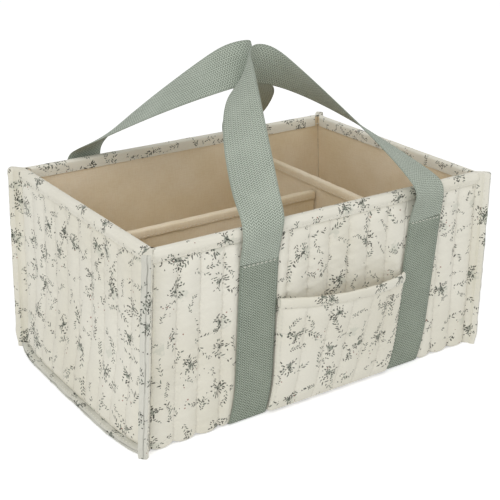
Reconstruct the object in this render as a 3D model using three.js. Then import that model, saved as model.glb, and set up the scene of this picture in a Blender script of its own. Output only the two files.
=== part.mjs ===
import * as THREE from 'three';

// A free-standing fabric caddy: four quilted walls on a stiff base, two webbing handles, a pocket on the
// front and a T-shaped divider that lifts out. The long walls bend under the base, and bound seams join
// them to the end walls. Millimetres, +Z up. The front wall faces -Y, and the origin is the middle of
// the underside.

// Body
const baseLength = 380; // outside the end walls, at the floor
const baseWidth = 246; // outside the long walls, at the floor
const rimHeight = 185;
const endLean = 7; // each end wall comes in by this much at the rim
const sideLean = 5; // each long wall spreads by this much at the rim
const seamGap = 0.3; // air between pieces that lie against each other

// Wall layers, from the outside in
const quiltLoft = 3; // how far a channel stands above its stitch lines
const quiltBase = 1.2; // thickness at a stitch line
const channelPitch = 24;
const wallBoardThickness = 2.2;
const liningThickness = 0.8;
const seamFade = 14; // distance from a bound edge over which a channel swells to its full loft

// Base layers, from the floor up
const baseCoverThickness = 1.6;
const baseBoardThickness = 5;
const baseLiningThickness = 0.8;

// Bound seams and rim hems
const cornerBindingWidth = 8;
const cornerBindingReach = 7; // stands out past the corner
const cornerNeckWidth = 4.4; // where the two walls' edges are pinched together
const cornerShoulder = 2; // from the corner back to where the neck starts to widen
const bottomBindingReach = 5; // stands out past the wall
const bottomBindingHeight = 5;
const hemDrop = 11;
const hemThickness = 1.1;

// Webbing, sewn up the long walls and free above the cross stitches
const webbingWidth = 40;
const webbingThickness = 1.5;
const stitchHeight = 152;
const strapShiftAtFloor = 12; // the pair stands to the right of its wall's middle, seen from outside
const strapShiftAtStitch = 18;
const strapHalfSpanAtFloor = 91; // from the pair's middle to the middle of a strap
const strapHalfSpanAtStitch = 94;

// Handle loops
const handleTop = 289; // height of the webbing's middle where the two handles meet
const handleApart = 8.6; // from there to the plane between the handles
const legRimClear = 2; // height above the rim up to which a leg stands along the wall
const legLead = 10; // how strongly it still runs up from there
const crownLead = 34; // how strongly the loop runs level at its top
const legFlareShare = 0.1; // outward slope of a leg where it leaves the wall
const legPathShare = 0.999; // end of a leg's path, just short of running level
const turnPower = 1.2; // how late in a leg the webbing turns on edge
const uprightPower = 6; // how late the two handles come flat together

// Front pocket, between the two front straps
const pocketFoot = 3;
const pocketMouthLeft = 114;
const pocketMouthRight = 104;
const pocketBulge = 16; // how far the mouth stands open in its middle
const pocketBulgeWidthPower = 0.75;
const pocketBulgeRisePower = 1.3;
const pocketLoft = 2.2;
const pocketBase = 1;
const pocketLiningThickness = 0.6;
const pocketHemDrop = 9;
const pocketHemThickness = 0.9;
const pocketSideGap = 0.6; // between the pocket's sides and the straps

// Lift-out divider
const crossDividerPlace = 82; // along X, from the middle of the caddy
const crossDividerTop = 162;
const longDividerTop = 150;
const dividerBoardThickness = 2;
const dividerCoverThickness = 1.4;
const dividerBindingDrop = 8;
const dividerBindingThickness = 0.9;
const dividerLift = 30; // travel of the lift, up to the legs of the standing handles
const dividerJunctionGap = 2; // cloth left slack between the long and the cross divider

// Hook and loop strips between the divider and the walls
const fastenerThickness = 0.6;
const fastenerFoot = 30;
const fastenerTop = 120;
const loopStripWidth = 20;
const hookStripWidth = 5;

// Facets of the curved forms
const channelSteps = 5;
const handleSteps = 26;
const bindingArcSteps = 6;
const bendSteps = 4;
const pocketRows = 6;

// How a channel is shaped
const crownPower = 2.4;
const seamRowShare = 0.35; // place within the fade that gets a row of its own
const pressedShare = 0.35; // of the loft, left under a strap

// Depths into a wall, from the crowns of its channels
const quiltBack = quiltLoft + quiltBase;
const boardFront = quiltBack + seamGap;
const boardBack = boardFront + wallBoardThickness;
const liningFront = boardBack + seamGap;
const liningBack = liningFront + liningThickness;
const hemFront = quiltLoft - seamGap - hemThickness;
const hemBack = liningBack + seamGap + hemThickness;
const strapBack = quiltLoft * (1 - pressedShare) - seamGap;
const strapFront = strapBack - webbingThickness;
const loopFront = liningBack + seamGap;
const loopBack = loopFront + fastenerThickness;
const hookFront = loopBack + seamGap;
const hookBack = hookFront + fastenerThickness;
const dividerEnd = hookBack + seamGap;

// Heights in the base and under the rim
const baseBoardFoot = baseCoverThickness + seamGap;
const baseLiningFoot = baseBoardFoot + baseBoardThickness + seamGap;
const baseFloor = baseLiningFoot + baseLiningThickness;
const wallFoot = baseFloor + seamGap;
const wallTop = rimHeight - hemThickness - seamGap;

// Slots that cut pieces leave for each other at a corner, measured across its diagonal
const bindingSlot = cornerNeckWidth / 2 + seamGap;
const flangeSlot = cornerBindingWidth / 2 + seamGap;
const mitreSlot = seamGap / 2;

// Distances from a divider's middle plane
const dividerBoardHalf = dividerBoardThickness / 2;
const dividerCoverHalf = dividerBoardHalf + seamGap + dividerCoverThickness;
const dividerBindingHalf = dividerCoverHalf + seamGap + dividerBindingThickness;

const { clamp, lerp } = THREE.MathUtils;
const up = new THREE.Vector3(0, 0, 1);
const alongWall = new THREE.Vector3(1, 0, 0);
const quarterTurn = Math.PI / 2;

const halfLengthAt = (z) => baseLength / 2 - (endLean * z) / rimHeight;
const halfWidthAt = (z) => baseWidth / 2 + (sideLean * z) / rimHeight;

// Every wall is built as if it faced -Y, x running to the right seen from outside, then turned to its
// side. reachAt is how far its face stands from the middle, spanAt is half its length.
const longWall = { reachAt: halfWidthAt, spanAt: halfLengthAt };
const endWall = { reachAt: halfLengthAt, spanAt: halfWidthAt };

const wallPoint = (wall, x, depth, z) => new THREE.Vector3(x, depth - wall.reachAt(z), z);

// Half the length of a wall at one depth, cut on the corner's diagonal with a slot beside it.
const mitredHalf = (wall, depth, z, slot) => wall.spanAt(z) - depth - slot * Math.SQRT2;

const finishes = {
  print: { color: 0xe3dfd1, roughness: 0.92 },
  lining: { color: 0xdccbb0, roughness: 0.9 },
  binding: { color: 0xd8d6cf, roughness: 0.88 },
  webbing: { color: 0x8f9f92, roughness: 0.8 },
  board: { color: 0xb9b2a4, roughness: 0.85 },
  fastener: { color: 0xe8e4da, roughness: 0.95 },
};

const caddy = new THREE.Group();

function addPart(name, geometry, finish, turn = 0) {
  const material = new THREE.MeshStandardMaterial({ metalness: 0, ...finishes[finish] });
  const mesh = new THREE.Mesh(geometry, material);
  mesh.name = name;
  mesh.rotation.z = turn;
  caddy.add(mesh);
}

// Six times the volume that the faces close in, negative when they look inwards.
function signedVolume(points, faces) {
  const normal = new THREE.Vector3();
  return faces.reduce((sum, [a, b, c]) => sum + points[a].dot(normal.crossVectors(points[b], points[c])), 0);
}

// A closed solid through rings with equally many points. The cap lists one ring's own triangles.
function loft(rings, cap) {
  const count = rings[0].length;
  const last = (rings.length - 1) * count;
  const points = rings.flat();
  const faces = [];
  for (let start = 0; start < last; start += count) {
    for (let i = 0; i < count; i += 1) {
      const here = start + i;
      const next = start + ((i + 1) % count);
      faces.push([here, next, next + count], [here, next + count, here + count]);
    }
  }
  for (const [a, b, c] of cap) {
    faces.push([c, b, a], [last + a, last + b, last + c]);
  }
  const inwards = signedVolume(points, faces) < 0;
  const geometry = new THREE.BufferGeometry().setFromPoints(points);
  geometry.setIndex(faces.flatMap(([a, b, c]) => (inwards ? [a, c, b] : [a, b, c])));
  geometry.computeVertexNormals();
  return geometry;
}

// Cap of a convex ring, fanned from its first point.
function fanCap(ring) {
  return ring.slice(2).map((_, i) => [0, i + 1, i + 2]);
}

// Cap of a ring whose first half runs out along one face and whose second half comes back.
function stripCap(ring) {
  const last = ring.length - 1;
  const triangles = [];
  for (let i = 0; i < ring.length / 2 - 1; i += 1) {
    triangles.push([i, i + 1, last - i - 1], [i, last - i - 1, last - i]);
  }
  return triangles;
}

// Cap of a quilted panel's flat edge: many points along its face, then its two back corners.
function panelCap(ring) {
  const leftCorner = ring.length - 1;
  const rightCorner = leftCorner - 1;
  const middle = Math.floor(rightCorner / 2);
  const triangles = [[middle, rightCorner, leftCorner]];
  for (let i = 0; i < rightCorner - 1; i += 1) {
    triangles.push([i, i + 1, i < middle ? leftCorner : rightCorner]);
  }
  return triangles;
}

// Cap of any flat section given as pairs.
function sectionCap(section) {
  const contour = section.map(([across, z]) => new THREE.Vector2(across, z));
  const turnsLeft = THREE.ShapeUtils.area(contour) > 0;
  return THREE.ShapeUtils.triangulateShape(contour, []).map((face) => {
    const sameWay = THREE.ShapeUtils.area(face.map((i) => contour[i])) > 0 === turnsLeft;
    return sameWay ? face : [...face].reverse();
  });
}

// A bar with one section from end -1 to end 1. endPoint places a section's point at an end.
function bar(section, endPoint) {
  const rings = [-1, 1].map((end) => section.map(([across, z]) => endPoint(end, across, z)));
  return loft(rings, sectionCap(section));
}

// Section of cloth folded over an edge: up one side from open to fold, across, and back.
function foldSection(near, far, open, fold, thickness) {
  const inside = fold - Math.sign(fold - open) * thickness;
  return [
    [near, open],
    [near, fold],
    [far, fold],
    [far, open],
    [far - thickness, open],
    [far - thickness, inside],
    [near + thickness, inside],
    [near + thickness, open],
  ];
}

function blockSection(near, far, foot, top) {
  return [
    [near, foot],
    [near, top],
    [far, top],
    [far, foot],
  ];
}

// Where a wall's bars and layers end: on the corner's diagonal, less a slot.
const mitredEnd = (wall, slot) => (end, depth, z) =>
  wallPoint(wall, end * mitredHalf(wall, depth, z, slot), depth, z);

const wallLayer = (wall, front, back, slot) =>
  bar(blockSection(front, back, wallFoot, wallTop), mitredEnd(wall, slot));

// Rows up a long wall: angle is 0 on the wall and a quarter turn where it has bent under the base.
const bendRows = Array.from({ length: bendSteps }, (_, i) => ({
  angle: (quarterTurn * (bendSteps - i)) / bendSteps,
  z: wallFoot,
}));
const wallRow = (z) => ({ angle: 0, z });

// Depth and height of a layer in a row. The bend's middle is as deep as it is high.
const rowPlace = (layerDepth, { angle, z }) => ({
  depth: wallFoot - (wallFoot - layerDepth) * Math.cos(angle),
  z: z - (wallFoot - layerDepth) * Math.sin(angle),
});

// Middle of a strap at a height, on its own wall: side -1 is the left one, 1 the right one.
function strapMiddle(side, z) {
  const share = z / stitchHeight;
  const shift = lerp(strapShiftAtFloor, strapShiftAtStitch, share);
  return shift + side * lerp(strapHalfSpanAtFloor, strapHalfSpanAtStitch, share);
}

// Profile of a channel across its width: 0 on both stitch lines, 1 along its crown.
const crown = (share) => 1 - Math.abs(2 * share - 1) ** crownPower;

// Profile at the nth facet edge of a row of channels.
const channelCrown = (n) => crown((n % channelSteps) / channelSteps);

// How far a channel has swelled at a distance from the edge that holds it down.
const swellFrom = (distance) => Math.sin(quarterTurn * clamp(distance / seamFade, 0, 1));

// The outer panel: upright channels that die out where an edge is held, at the end of a long wall's bend
// or at an end wall's bottom seam, and under the rim hem. They lie pressed down behind the webbing.
function quiltedPanel(wall) {
  const isLong = wall === longWall;
  const steps = channelSteps * Math.round((2 * wall.spanAt(0)) / channelPitch);
  const hemEdge = rimHeight - hemDrop - seamGap;
  const rowStep = seamFade * seamRowShare;
  const fullFoot = wallFoot + seamFade;
  const heights = [wallFoot, wallFoot + rowStep, fullFoot, (fullFoot + stitchHeight) / 2, stitchHeight];
  const rows = [...heights, hemEdge - rowStep, hemEdge, wallTop].map(wallRow);
  const bendLength = isLong ? quarterTurn * wallFoot : 0;
  const pressHalf = webbingWidth / 2 + channelPitch / channelSteps;
  const shareLeft = (x, z) => {
    const underStrap = [-1, 1].some((side) => Math.abs(x - strapMiddle(side, z)) < pressHalf);
    return isLong && underStrap ? pressedShare : 1;
  };
  const rings = [...(isLong ? bendRows : []), ...rows].map((row) => {
    const halfAt = (layerDepth) => {
      const place = rowPlace(layerDepth, row);
      return mitredHalf(wall, place.depth, place.z, bindingSlot);
    };
    const pointAt = (x, layerDepth) => {
      const place = rowPlace(layerDepth, row);
      return wallPoint(wall, x, place.depth, place.z);
    };
    const fromFoot = bendLength - row.angle * wallFoot + row.z - wallFoot;
    const swell = Math.min(swellFrom(fromFoot), swellFrom(hemEdge - row.z));
    const faceHalf = halfAt(quiltLoft);
    const backHalf = halfAt(quiltBack);
    const ring = [];
    for (let i = 0; i <= steps; i += 1) {
      const x = lerp(-faceHalf, faceHalf, i / steps);
      const rise = channelCrown(i) * swell * shareLeft(x, row.z);
      ring.push(pointAt(x, quiltLoft * (1 - rise)));
    }
    return [...ring, pointAt(backHalf, quiltBack), pointAt(-backHalf, quiltBack)];
  });
  return loft(rings, panelCap(rings[0]));
}

// Folded hem over the rim, its legs down over the outer panel and the lining.
function rimHem(wall) {
  const section = foldSection(hemFront, hemBack, rimHeight - hemDrop, rimHeight, hemThickness);
  return bar(section, mitredEnd(wall, bindingSlot));
}

// Bound bottom seam of an end wall: a bar that stands out with a round edge, with a groove over it at the
// panel's foot.
function bottomBinding() {
  const middle = bottomBindingHeight / 2;
  const section = [[liningBack, 0]];
  for (let i = 0; i <= bindingArcSteps; i += 1) {
    const angle = (i / bindingArcSteps) * Math.PI;
    section.push([-bottomBindingReach * Math.sin(angle), middle - middle * Math.cos(angle)]);
  }
  section.push([quiltLoft, bottomBindingHeight], [quiltLoft, baseFloor], [liningBack, baseFloor]);
  return bar(section, mitredEnd(endWall, flangeSlot));
}

// Bound upright seam of a front corner: a neck between both walls' edges, down to their linings, widens to
// a flange that stands out along the corner's diagonal.
function cornerBinding(side) {
  const half = cornerBindingWidth / 2;
  const neckHalf = cornerNeckWidth / 2;
  const notch = -(liningFront - seamGap) * Math.SQRT2;
  const outline = [
    [notch, 0],
    [notch - neckHalf, -neckHalf],
    [-cornerShoulder, -neckHalf],
  ];
  for (let i = 0; i <= bindingArcSteps; i += 1) {
    const angle = (i / bindingArcSteps) * Math.PI - quarterTurn;
    outline.push([cornerBindingReach - half + half * Math.cos(angle), half * Math.sin(angle)]);
  }
  outline.push([-cornerShoulder, neckHalf], [notch - neckHalf, neckHalf]);
  const rings = [0, rimHeight].map((z) =>
    outline.map(([out, across]) => {
      const x = halfLengthAt(z) + (across + out) * Math.SQRT1_2;
      return new THREE.Vector3(side * x, (across - out) * Math.SQRT1_2 - halfWidthAt(z), z);
    }),
  );
  return loft(rings, sectionCap(outline));
}

// Webbing sewn up a long wall, from under the base to the cross stitches, down in the pressed channels.
function wallStrap(side) {
  const half = webbingWidth / 2;
  const rings = [...bendRows, wallRow(wallFoot), wallRow(stitchHeight)].map((row) => {
    const corner = (across, layerDepth) => {
      const { depth, z } = rowPlace(layerDepth, row);
      return wallPoint(longWall, strapMiddle(side, row.z) + across, depth, z);
    };
    return [corner(-half, strapFront), corner(half, strapFront), corner(half, strapBack), corner(-half, strapBack)];
  });
  return loft(rings, fanCap(rings[0]));
}

// One leg of a handle, from its cross stitches to the top of the loop. It stands along the wall to just
// above the rim. From there its path ends level over the middle of the caddy, while the webbing's width
// turns about the path until it stands on edge. The leg is laid out on the left, then mirrored.
function handleLeg(side) {
  const half = webbingWidth / 2;
  const overHem = hemFront - seamGap - webbingThickness;
  const wallMiddle = (depth, z) => wallPoint(longWall, -Math.abs(strapMiddle(side, z)), depth, z);
  const wallRing = (front, z) => {
    const at = (across, depth) => wallMiddle(depth, z).addScaledVector(alongWall, across);
    const back = front + webbingThickness;
    return [at(-half, front), at(half, front), at(half, back), at(-half, back)];
  };
  const rings = [wallRing(strapFront, stitchHeight + seamGap), wallRing(overHem, rimHeight - hemDrop)];
  const start = wallMiddle(overHem + webbingThickness / 2, rimHeight + legRimClear);
  const end = new THREE.Vector3(0, -handleApart, handleTop);
  const flare = new THREE.Vector3(0, -legFlareShare, 1).normalize();
  const startLead = start.clone().addScaledVector(flare, legLead);
  const endLead = end.clone().addScaledVector(alongWall, -crownLead);
  const path = new THREE.CubicBezierCurve3(start, startLead, endLead, end);
  for (let i = 0; i <= handleSteps; i += 1) {
    const t = legPathShare * Math.sin((quarterTurn * i) / handleSteps);
    const middle = path.getPoint(t);
    const heading = path.getTangent(t);
    const flat = alongWall.clone().projectOnPlane(heading).normalize();
    const sideways = alongWall.clone().cross(heading).normalize();
    const edgeOn = sideways.lerp(up, t ** uprightPower).projectOnPlane(heading).normalize();
    const turn = quarterTurn * t ** turnPower;
    const width = flat.multiplyScalar(Math.cos(turn)).addScaledVector(edgeOn, Math.sin(turn));
    const halfAcross = width.clone().multiplyScalar(half);
    const halfThrough = width.clone().cross(heading).multiplyScalar(webbingThickness / 2);
    const corner = (across, through) =>
      middle.clone().addScaledVector(halfAcross, across).addScaledVector(halfThrough, through);
    rings.push([corner(-1, 1), corner(1, 1), corner(1, -1), corner(-1, -1)]);
  }
  const toSide = new THREE.Vector3(-side, 1, 1);
  return rings.map((ring) => ring.map((point) => point.multiply(toSide)));
}

// A whole loop: up the left leg, then down the right one.
function handleLoop() {
  const rightLeg = handleLeg(1).reverse();
  const rings = [...handleLeg(-1), ...rightLeg.slice(1)];
  return loft(rings, fanCap(rings[0]));
}

// The pocket's cloth runs between the front straps, from the bottom bend to a slanting mouth.
const pocketSeat = seamGap + pocketHemThickness + seamGap + pocketLiningThickness + seamGap;
const pocketLeft = (z) => strapMiddle(-1, z) + webbingWidth / 2 + pocketSideGap;
const pocketRight = (z) => strapMiddle(1, z) - webbingWidth / 2 - pocketSideGap;
const pocketMouth = (share) => lerp(pocketMouthLeft, pocketMouthRight, share);
const pocketSteps = channelSteps * Math.round((pocketRight(0) - pocketLeft(0)) / channelPitch);

// A point of the pocket: its share across, its height, and how far it is in front of the panel's back.
function pocketPoint(share, z, forward) {
  const rise = (z - pocketFoot) / (pocketMouth(share) - pocketFoot);
  const bow = Math.sin(Math.PI * share) ** pocketBulgeWidthPower;
  const bulge = pocketBulge * bow * clamp(rise, 0, 1) ** pocketBulgeRisePower;
  return wallPoint(longWall, lerp(pocketLeft(z), pocketRight(z), share), -(pocketSeat + bulge + forward), z);
}

// Height of a row of the pocket's cloth. The last row stands in the fold of the mouth's hem.
function pocketHeight(share, row) {
  const hemEdge = pocketMouth(share) - pocketHemDrop - seamGap;
  const top = pocketMouth(share) - pocketHemThickness - seamGap;
  return row > pocketRows ? top : lerp(pocketFoot, hemEdge, row / pocketRows);
}

// A layer of the pocket. forwardAt gives its front and back at a facet edge and a row.
function pocketLayer(forwardAt) {
  const rings = [];
  for (let row = 0; row <= pocketRows + 1; row += 1) {
    const front = [];
    const back = [];
    for (let i = 0; i <= pocketSteps; i += 1) {
      const share = i / pocketSteps;
      const z = pocketHeight(share, row);
      const forward = forwardAt(i, row);
      front.push(pocketPoint(share, z, forward.front));
      back.push(pocketPoint(share, z, forward.back));
    }
    rings.push([...front, ...back.reverse()]);
  }
  return loft(rings, stripCap(rings[0]));
}

const pocketPanel = () =>
  pocketLayer((i, row) => {
    const swell = row < pocketRows ? crown(row / pocketRows) : 0;
    return { front: pocketBase + pocketLoft * channelCrown(i) * swell, back: 0 };
  });

const pocketLining = () =>
  pocketLayer(() => ({ front: -seamGap, back: -seamGap - pocketLiningThickness }));

// Hem folded over the pocket's mouth, one ring for every facet edge.
function pocketHem() {
  const near = -(seamGap + pocketLiningThickness + seamGap + pocketHemThickness);
  const far = pocketBase + seamGap + pocketHemThickness;
  const section = foldSection(near, far, -pocketHemDrop, 0, pocketHemThickness);
  const rings = [];
  for (let i = 0; i <= pocketSteps; i += 1) {
    const share = i / pocketSteps;
    rings.push(section.map(([forward, height]) => pocketPoint(share, pocketMouth(share) + height, forward)));
  }
  return loft(rings, sectionCap(section));
}

// A plate of the base, between the bottom bindings and the long walls' bends.
function basePlate(foot, top) {
  const rings = [foot, top].map((z) => {
    const x = halfLengthAt(z) - liningBack - seamGap;
    const y = halfWidthAt(z) - wallFoot - seamGap;
    return [
      new THREE.Vector3(-x, -y, z),
      new THREE.Vector3(x, -y, z),
      new THREE.Vector3(x, y, z),
      new THREE.Vector3(-x, y, z),
    ];
  });
  return loft(rings, fanCap(rings[0]));
}

// The cross divider reaches from long wall to long wall. The long one reaches from the left end wall,
// with room to be lifted past its lean, to the cross divider.
const liftRoom = (endLean * dividerLift) / rimHeight;
const crossEnd = (end, across, z) =>
  new THREE.Vector3(crossDividerPlace + across, end * (halfWidthAt(z) - dividerEnd), z);
const longRight = crossDividerPlace - dividerCoverHalf - dividerJunctionGap;
const longLeft = (z) => dividerEnd + liftRoom - halfLengthAt(z);
const longEnd = (end, across, z) => new THREE.Vector3(end < 0 ? longLeft(z) : longRight, across, z);

// A divider: a board in a cover folded under its foot, the open top bound.
function addDivider(name, top, endPoint) {
  const foot = baseFloor + seamGap;
  const coverTop = top - dividerBindingThickness - seamGap;
  const boardFoot = foot + dividerCoverThickness + seamGap;
  const bindingFoot = top - dividerBindingDrop;
  const board = blockSection(-dividerBoardHalf, dividerBoardHalf, boardFoot, coverTop);
  const cover = foldSection(-dividerCoverHalf, dividerCoverHalf, coverTop, foot, dividerCoverThickness);
  const edge = [-dividerBindingHalf, dividerBindingHalf];
  const binding = foldSection(...edge, bindingFoot, top, dividerBindingThickness);
  addPart(`${name}_board`, bar(board, endPoint), 'board');
  addPart(`${name}_cover`, bar(cover, endPoint), 'lining');
  addPart(`${name}_top_binding`, bar(binding, endPoint), 'binding');
}

// A hook or loop strip standing against a wall's lining, between two depths.
function fastenerStrip(wall, middle, width, front, back) {
  const corners = [
    [middle - width / 2, front],
    [middle + width / 2, front],
    [middle + width / 2, back],
    [middle - width / 2, back],
  ];
  const rings = [fastenerFoot, fastenerTop].map((z) => corners.map(([x, depth]) => wallPoint(wall, x, depth, z)));
  return loft(rings, fanCap(corners));
}

const loopStrip = (wall, middle) => fastenerStrip(wall, middle, loopStripWidth, loopFront, loopBack);
const hookStrip = (wall, middle, room) =>
  fastenerStrip(wall, middle, hookStripWidth, hookFront + room, hookBack + room);

const sides = [
  { side: 'front', wall: longWall, turn: 0 },
  { side: 'right', wall: endWall, turn: quarterTurn },
  { side: 'back', wall: longWall, turn: Math.PI },
  { side: 'left', wall: endWall, turn: -quarterTurn },
];

addPart('base_cover', basePlate(0, baseCoverThickness), 'binding');
addPart('base_board', basePlate(baseBoardFoot, baseBoardFoot + baseBoardThickness), 'board');
addPart('base_lining', basePlate(baseLiningFoot, baseFloor), 'lining');

for (const { side, wall, turn } of sides) {
  addPart(`${side}_quilted_panel`, quiltedPanel(wall), 'print', turn);
  addPart(`${side}_board`, wallLayer(wall, boardFront, boardBack, bindingSlot), 'board', turn);
  addPart(`${side}_lining`, wallLayer(wall, liningFront, liningBack, mitreSlot), 'lining', turn);
  addPart(`${side}_rim_hem`, rimHem(wall), 'print', turn);
}

addPart('right_bottom_binding', bottomBinding(), 'binding', quarterTurn);
addPart('left_bottom_binding', bottomBinding(), 'binding', -quarterTurn);

addPart('front_left_corner_binding', cornerBinding(-1), 'binding');
addPart('front_right_corner_binding', cornerBinding(1), 'binding');
addPart('back_right_corner_binding', cornerBinding(-1), 'binding', Math.PI);
addPart('back_left_corner_binding', cornerBinding(1), 'binding', Math.PI);

addPart('front_left_strap', wallStrap(-1), 'webbing');
addPart('front_right_strap', wallStrap(1), 'webbing');
addPart('back_right_strap', wallStrap(-1), 'webbing', Math.PI);
addPart('back_left_strap', wallStrap(1), 'webbing', Math.PI);

addPart('front_handle', handleLoop(), 'webbing');
addPart('back_handle', handleLoop(), 'webbing', Math.PI);

addPart('pocket_panel', pocketPanel(), 'print');
addPart('pocket_lining', pocketLining(), 'lining');
addPart('pocket_hem', pocketHem(), 'print');

addDivider('cross_divider', crossDividerTop, crossEnd);
addDivider('long_divider', longDividerTop, longEnd);

addPart('front_loop_strip', loopStrip(longWall, crossDividerPlace), 'fastener');
addPart('back_loop_strip', loopStrip(longWall, -crossDividerPlace), 'fastener', Math.PI);
addPart('left_loop_strip', loopStrip(endWall, 0), 'fastener', -quarterTurn);
addPart('cross_divider_front_hook_strip', hookStrip(longWall, crossDividerPlace, 0), 'fastener');
addPart('cross_divider_back_hook_strip', hookStrip(longWall, -crossDividerPlace, 0), 'fastener', Math.PI);
addPart('long_divider_hook_strip', hookStrip(endWall, 0, liftRoom), 'fastener', -quarterTurn);

export default caddy;
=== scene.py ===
import math

import bpy
import numpy as np
from mathutils import Matrix, Vector


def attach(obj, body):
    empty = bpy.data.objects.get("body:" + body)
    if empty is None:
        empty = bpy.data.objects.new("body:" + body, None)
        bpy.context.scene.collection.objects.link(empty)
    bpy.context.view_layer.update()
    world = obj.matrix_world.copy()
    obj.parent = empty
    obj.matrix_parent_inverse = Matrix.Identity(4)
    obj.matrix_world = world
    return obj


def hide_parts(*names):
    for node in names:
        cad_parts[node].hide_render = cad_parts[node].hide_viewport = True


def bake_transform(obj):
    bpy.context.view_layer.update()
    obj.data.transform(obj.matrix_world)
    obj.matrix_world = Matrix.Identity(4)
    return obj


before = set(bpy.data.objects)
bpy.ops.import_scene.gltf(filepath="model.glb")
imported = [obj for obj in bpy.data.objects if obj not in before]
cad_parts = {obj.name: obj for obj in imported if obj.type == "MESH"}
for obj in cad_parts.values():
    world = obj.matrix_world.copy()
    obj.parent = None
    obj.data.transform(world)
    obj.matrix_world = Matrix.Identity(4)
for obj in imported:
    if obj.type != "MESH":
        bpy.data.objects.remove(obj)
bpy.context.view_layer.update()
print("frame loaded")

quarterTurn = math.pi / 2
waveTurn = 6.28  # a full turn, near enough for waves
diagonal = math.sqrt(2)
slant = math.sqrt(0.5)


# Faces of a sheet with a front and a back grid, closed round its border.
def shellFaces(rows, cols):
    index = np.arange(rows * cols).reshape(rows, cols)
    count = rows * cols
    front = np.stack([index[:-1, :-1], index[:-1, 1:], index[1:, 1:], index[1:, :-1]], -1).reshape(-1, 4)
    border = np.concatenate([index[0, :-1], index[:-1, -1], index[-1, :0:-1], index[:0:-1, 0]])
    after = np.roll(border, -1)
    sides = np.stack([after, border, border + count, after + count], -1)
    return np.concatenate([front, front[:, ::-1] + count, sides])


# Faces of sections carried along a path. A section runs out along one side and comes back on the other,
# so its cap is a strip of quads.
def sweepFaces(rows, cols):
    start = (np.arange(rows - 1) * cols)[:, None]
    here = np.arange(cols)[None, :]
    after = (here + 1) % cols
    corners = [start + here, start + after, start + cols + after, start + cols + here]
    sides = np.stack(corners, -1).reshape(-1, 4)
    step = np.arange(cols // 2 - 1)
    cap = np.stack([step, step + 1, cols - 2 - step, cols - 1 - step], -1)
    return np.concatenate([sides, cap[:, ::-1], cap + (rows - 1) * cols])


# Six times the volume that quads close in, negative when they look inwards.
def signedVolume(points, faces):
    a, b, c, d = (points[faces[:, i]] for i in range(4))
    return np.einsum("ij,ij->i", a, np.cross(b, c)).sum() + np.einsum("ij,ij->i", a, np.cross(c, d)).sum()


# A finished piece: its mesh with UV maps in metres, its materials, its body and the CAD nodes it stands for.
def addPiece(name, points, faces, maps, materials, bodyName, nodes=(), sharp=40, indices=None):
    points = points.reshape(-1, 3)
    if signedVolume(points, faces) < 0:
        faces = faces[:, ::-1]
    mesh = bpy.data.meshes.new(name)
    mesh.from_pydata(points.tolist(), [], faces.tolist())
    loopVertices = np.zeros(len(mesh.loops), np.int32)
    mesh.loops.foreach_get("vertex_index", loopVertices)
    for key, values in maps.items():
        layer = mesh.uv_layers.new(name=key)
        layer.data.foreach_set("uv", values.reshape(-1, 2)[loopVertices].astype(np.float32).ravel())
    for material in materials:
        mesh.materials.append(material)
    if indices is not None:
        mesh.polygons.foreach_set("material_index", indices.astype(np.int32))
    mesh.shade_smooth()
    mesh.set_sharp_from_angle(angle=math.radians(sharp))
    piece = bpy.data.objects.new(name, mesh)
    bpy.context.scene.collection.objects.link(piece)
    if bodyName:
        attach(piece, bodyName)
    if nodes:
        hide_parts(*nodes)
    return piece


# A sheet or pad of the caddy's own body, between two grids of points.
def addShell(name, outer, inner, maps, material, node):
    maps = {key: np.stack([values, values]) for key, values in maps.items()}
    faces = shellFaces(*outer.shape[:2])
    return addPiece(name, np.stack([outer, inner]), faces, maps, [material], "caddy", [node], 60)


# A section carried along a path: each row of points is one section.
def addSweep(name, points, maps, material, bodyName, node, sharp=50):
    faces = sweepFaces(*points.shape[:2])
    return addPiece(name, points, faces, maps, [material], bodyName, [node], sharp)


# Coordinates of shapes that fit together, as one array of points.
def together(*coordinates):
    return np.stack(np.broadcast_arrays(*coordinates), -1)


# A few sine waves in fixed directions added up, about -1 to 1.
def ripple(x, y, scale, seed):
    chance = np.random.default_rng(seed)
    total = 0.0
    for turn, phase, stretch in chance.uniform((0, 0, 0.6), (waveTurn, waveTurn, 1.7), (7, 3)):
        total = total + np.sin((x * math.cos(turn) + y * math.sin(turn)) * waveTurn * stretch / scale + phase)
    return total / 3.2


# A long wave and a short one along a line, by the wave and smallWave of a piece.
def waved(x, look, long, short, seed):
    return ripple(x, 0 * x, long, seed) * look["wave"] + ripple(x, 0 * x, short, seed + 1) * look["smallWave"]


def smooth(low, high, x):
    share = np.clip((x - low) / (high - low), 0, 1)
    return share * share * (3 - 2 * share)


# Half a wave over a share from 0 to 1: how far a leg or a side puffs out.
def puffed(share):
    return np.sin(math.pi * share)


def unit(vectors):
    return vectors / np.linalg.norm(vectors, axis=-1, keepdims=True)


# Vectors with what lies along a heading taken out, at unit length.
def squareTo(heading, vectors):
    return unit(vectors - heading * np.sum(vectors * heading, 1, keepdims=True))


# Length so far at each point of a path.
def alongPath(points):
    return np.concatenate([[0.0], np.cumsum(np.linalg.norm(np.diff(points, axis=0), axis=1))])


# Length so far round a section, from its two rows of coordinates.
def aroundSection(first, second):
    return np.cumsum(np.append([[0.0]], np.hypot(np.diff(first), np.diff(second)), 1), 1)


# A closed section: out along one side, and back along the other.
def closedSection(outer, inner):
    return np.concatenate([*outer, np.concatenate(inner)[::-1]])[None, :]


# 1 on the outer side of a closed section, 0 on the inner.
def onOutside(section):
    return np.repeat([1.0, 0.0], section.shape[1] // 2)[None, :]


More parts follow.
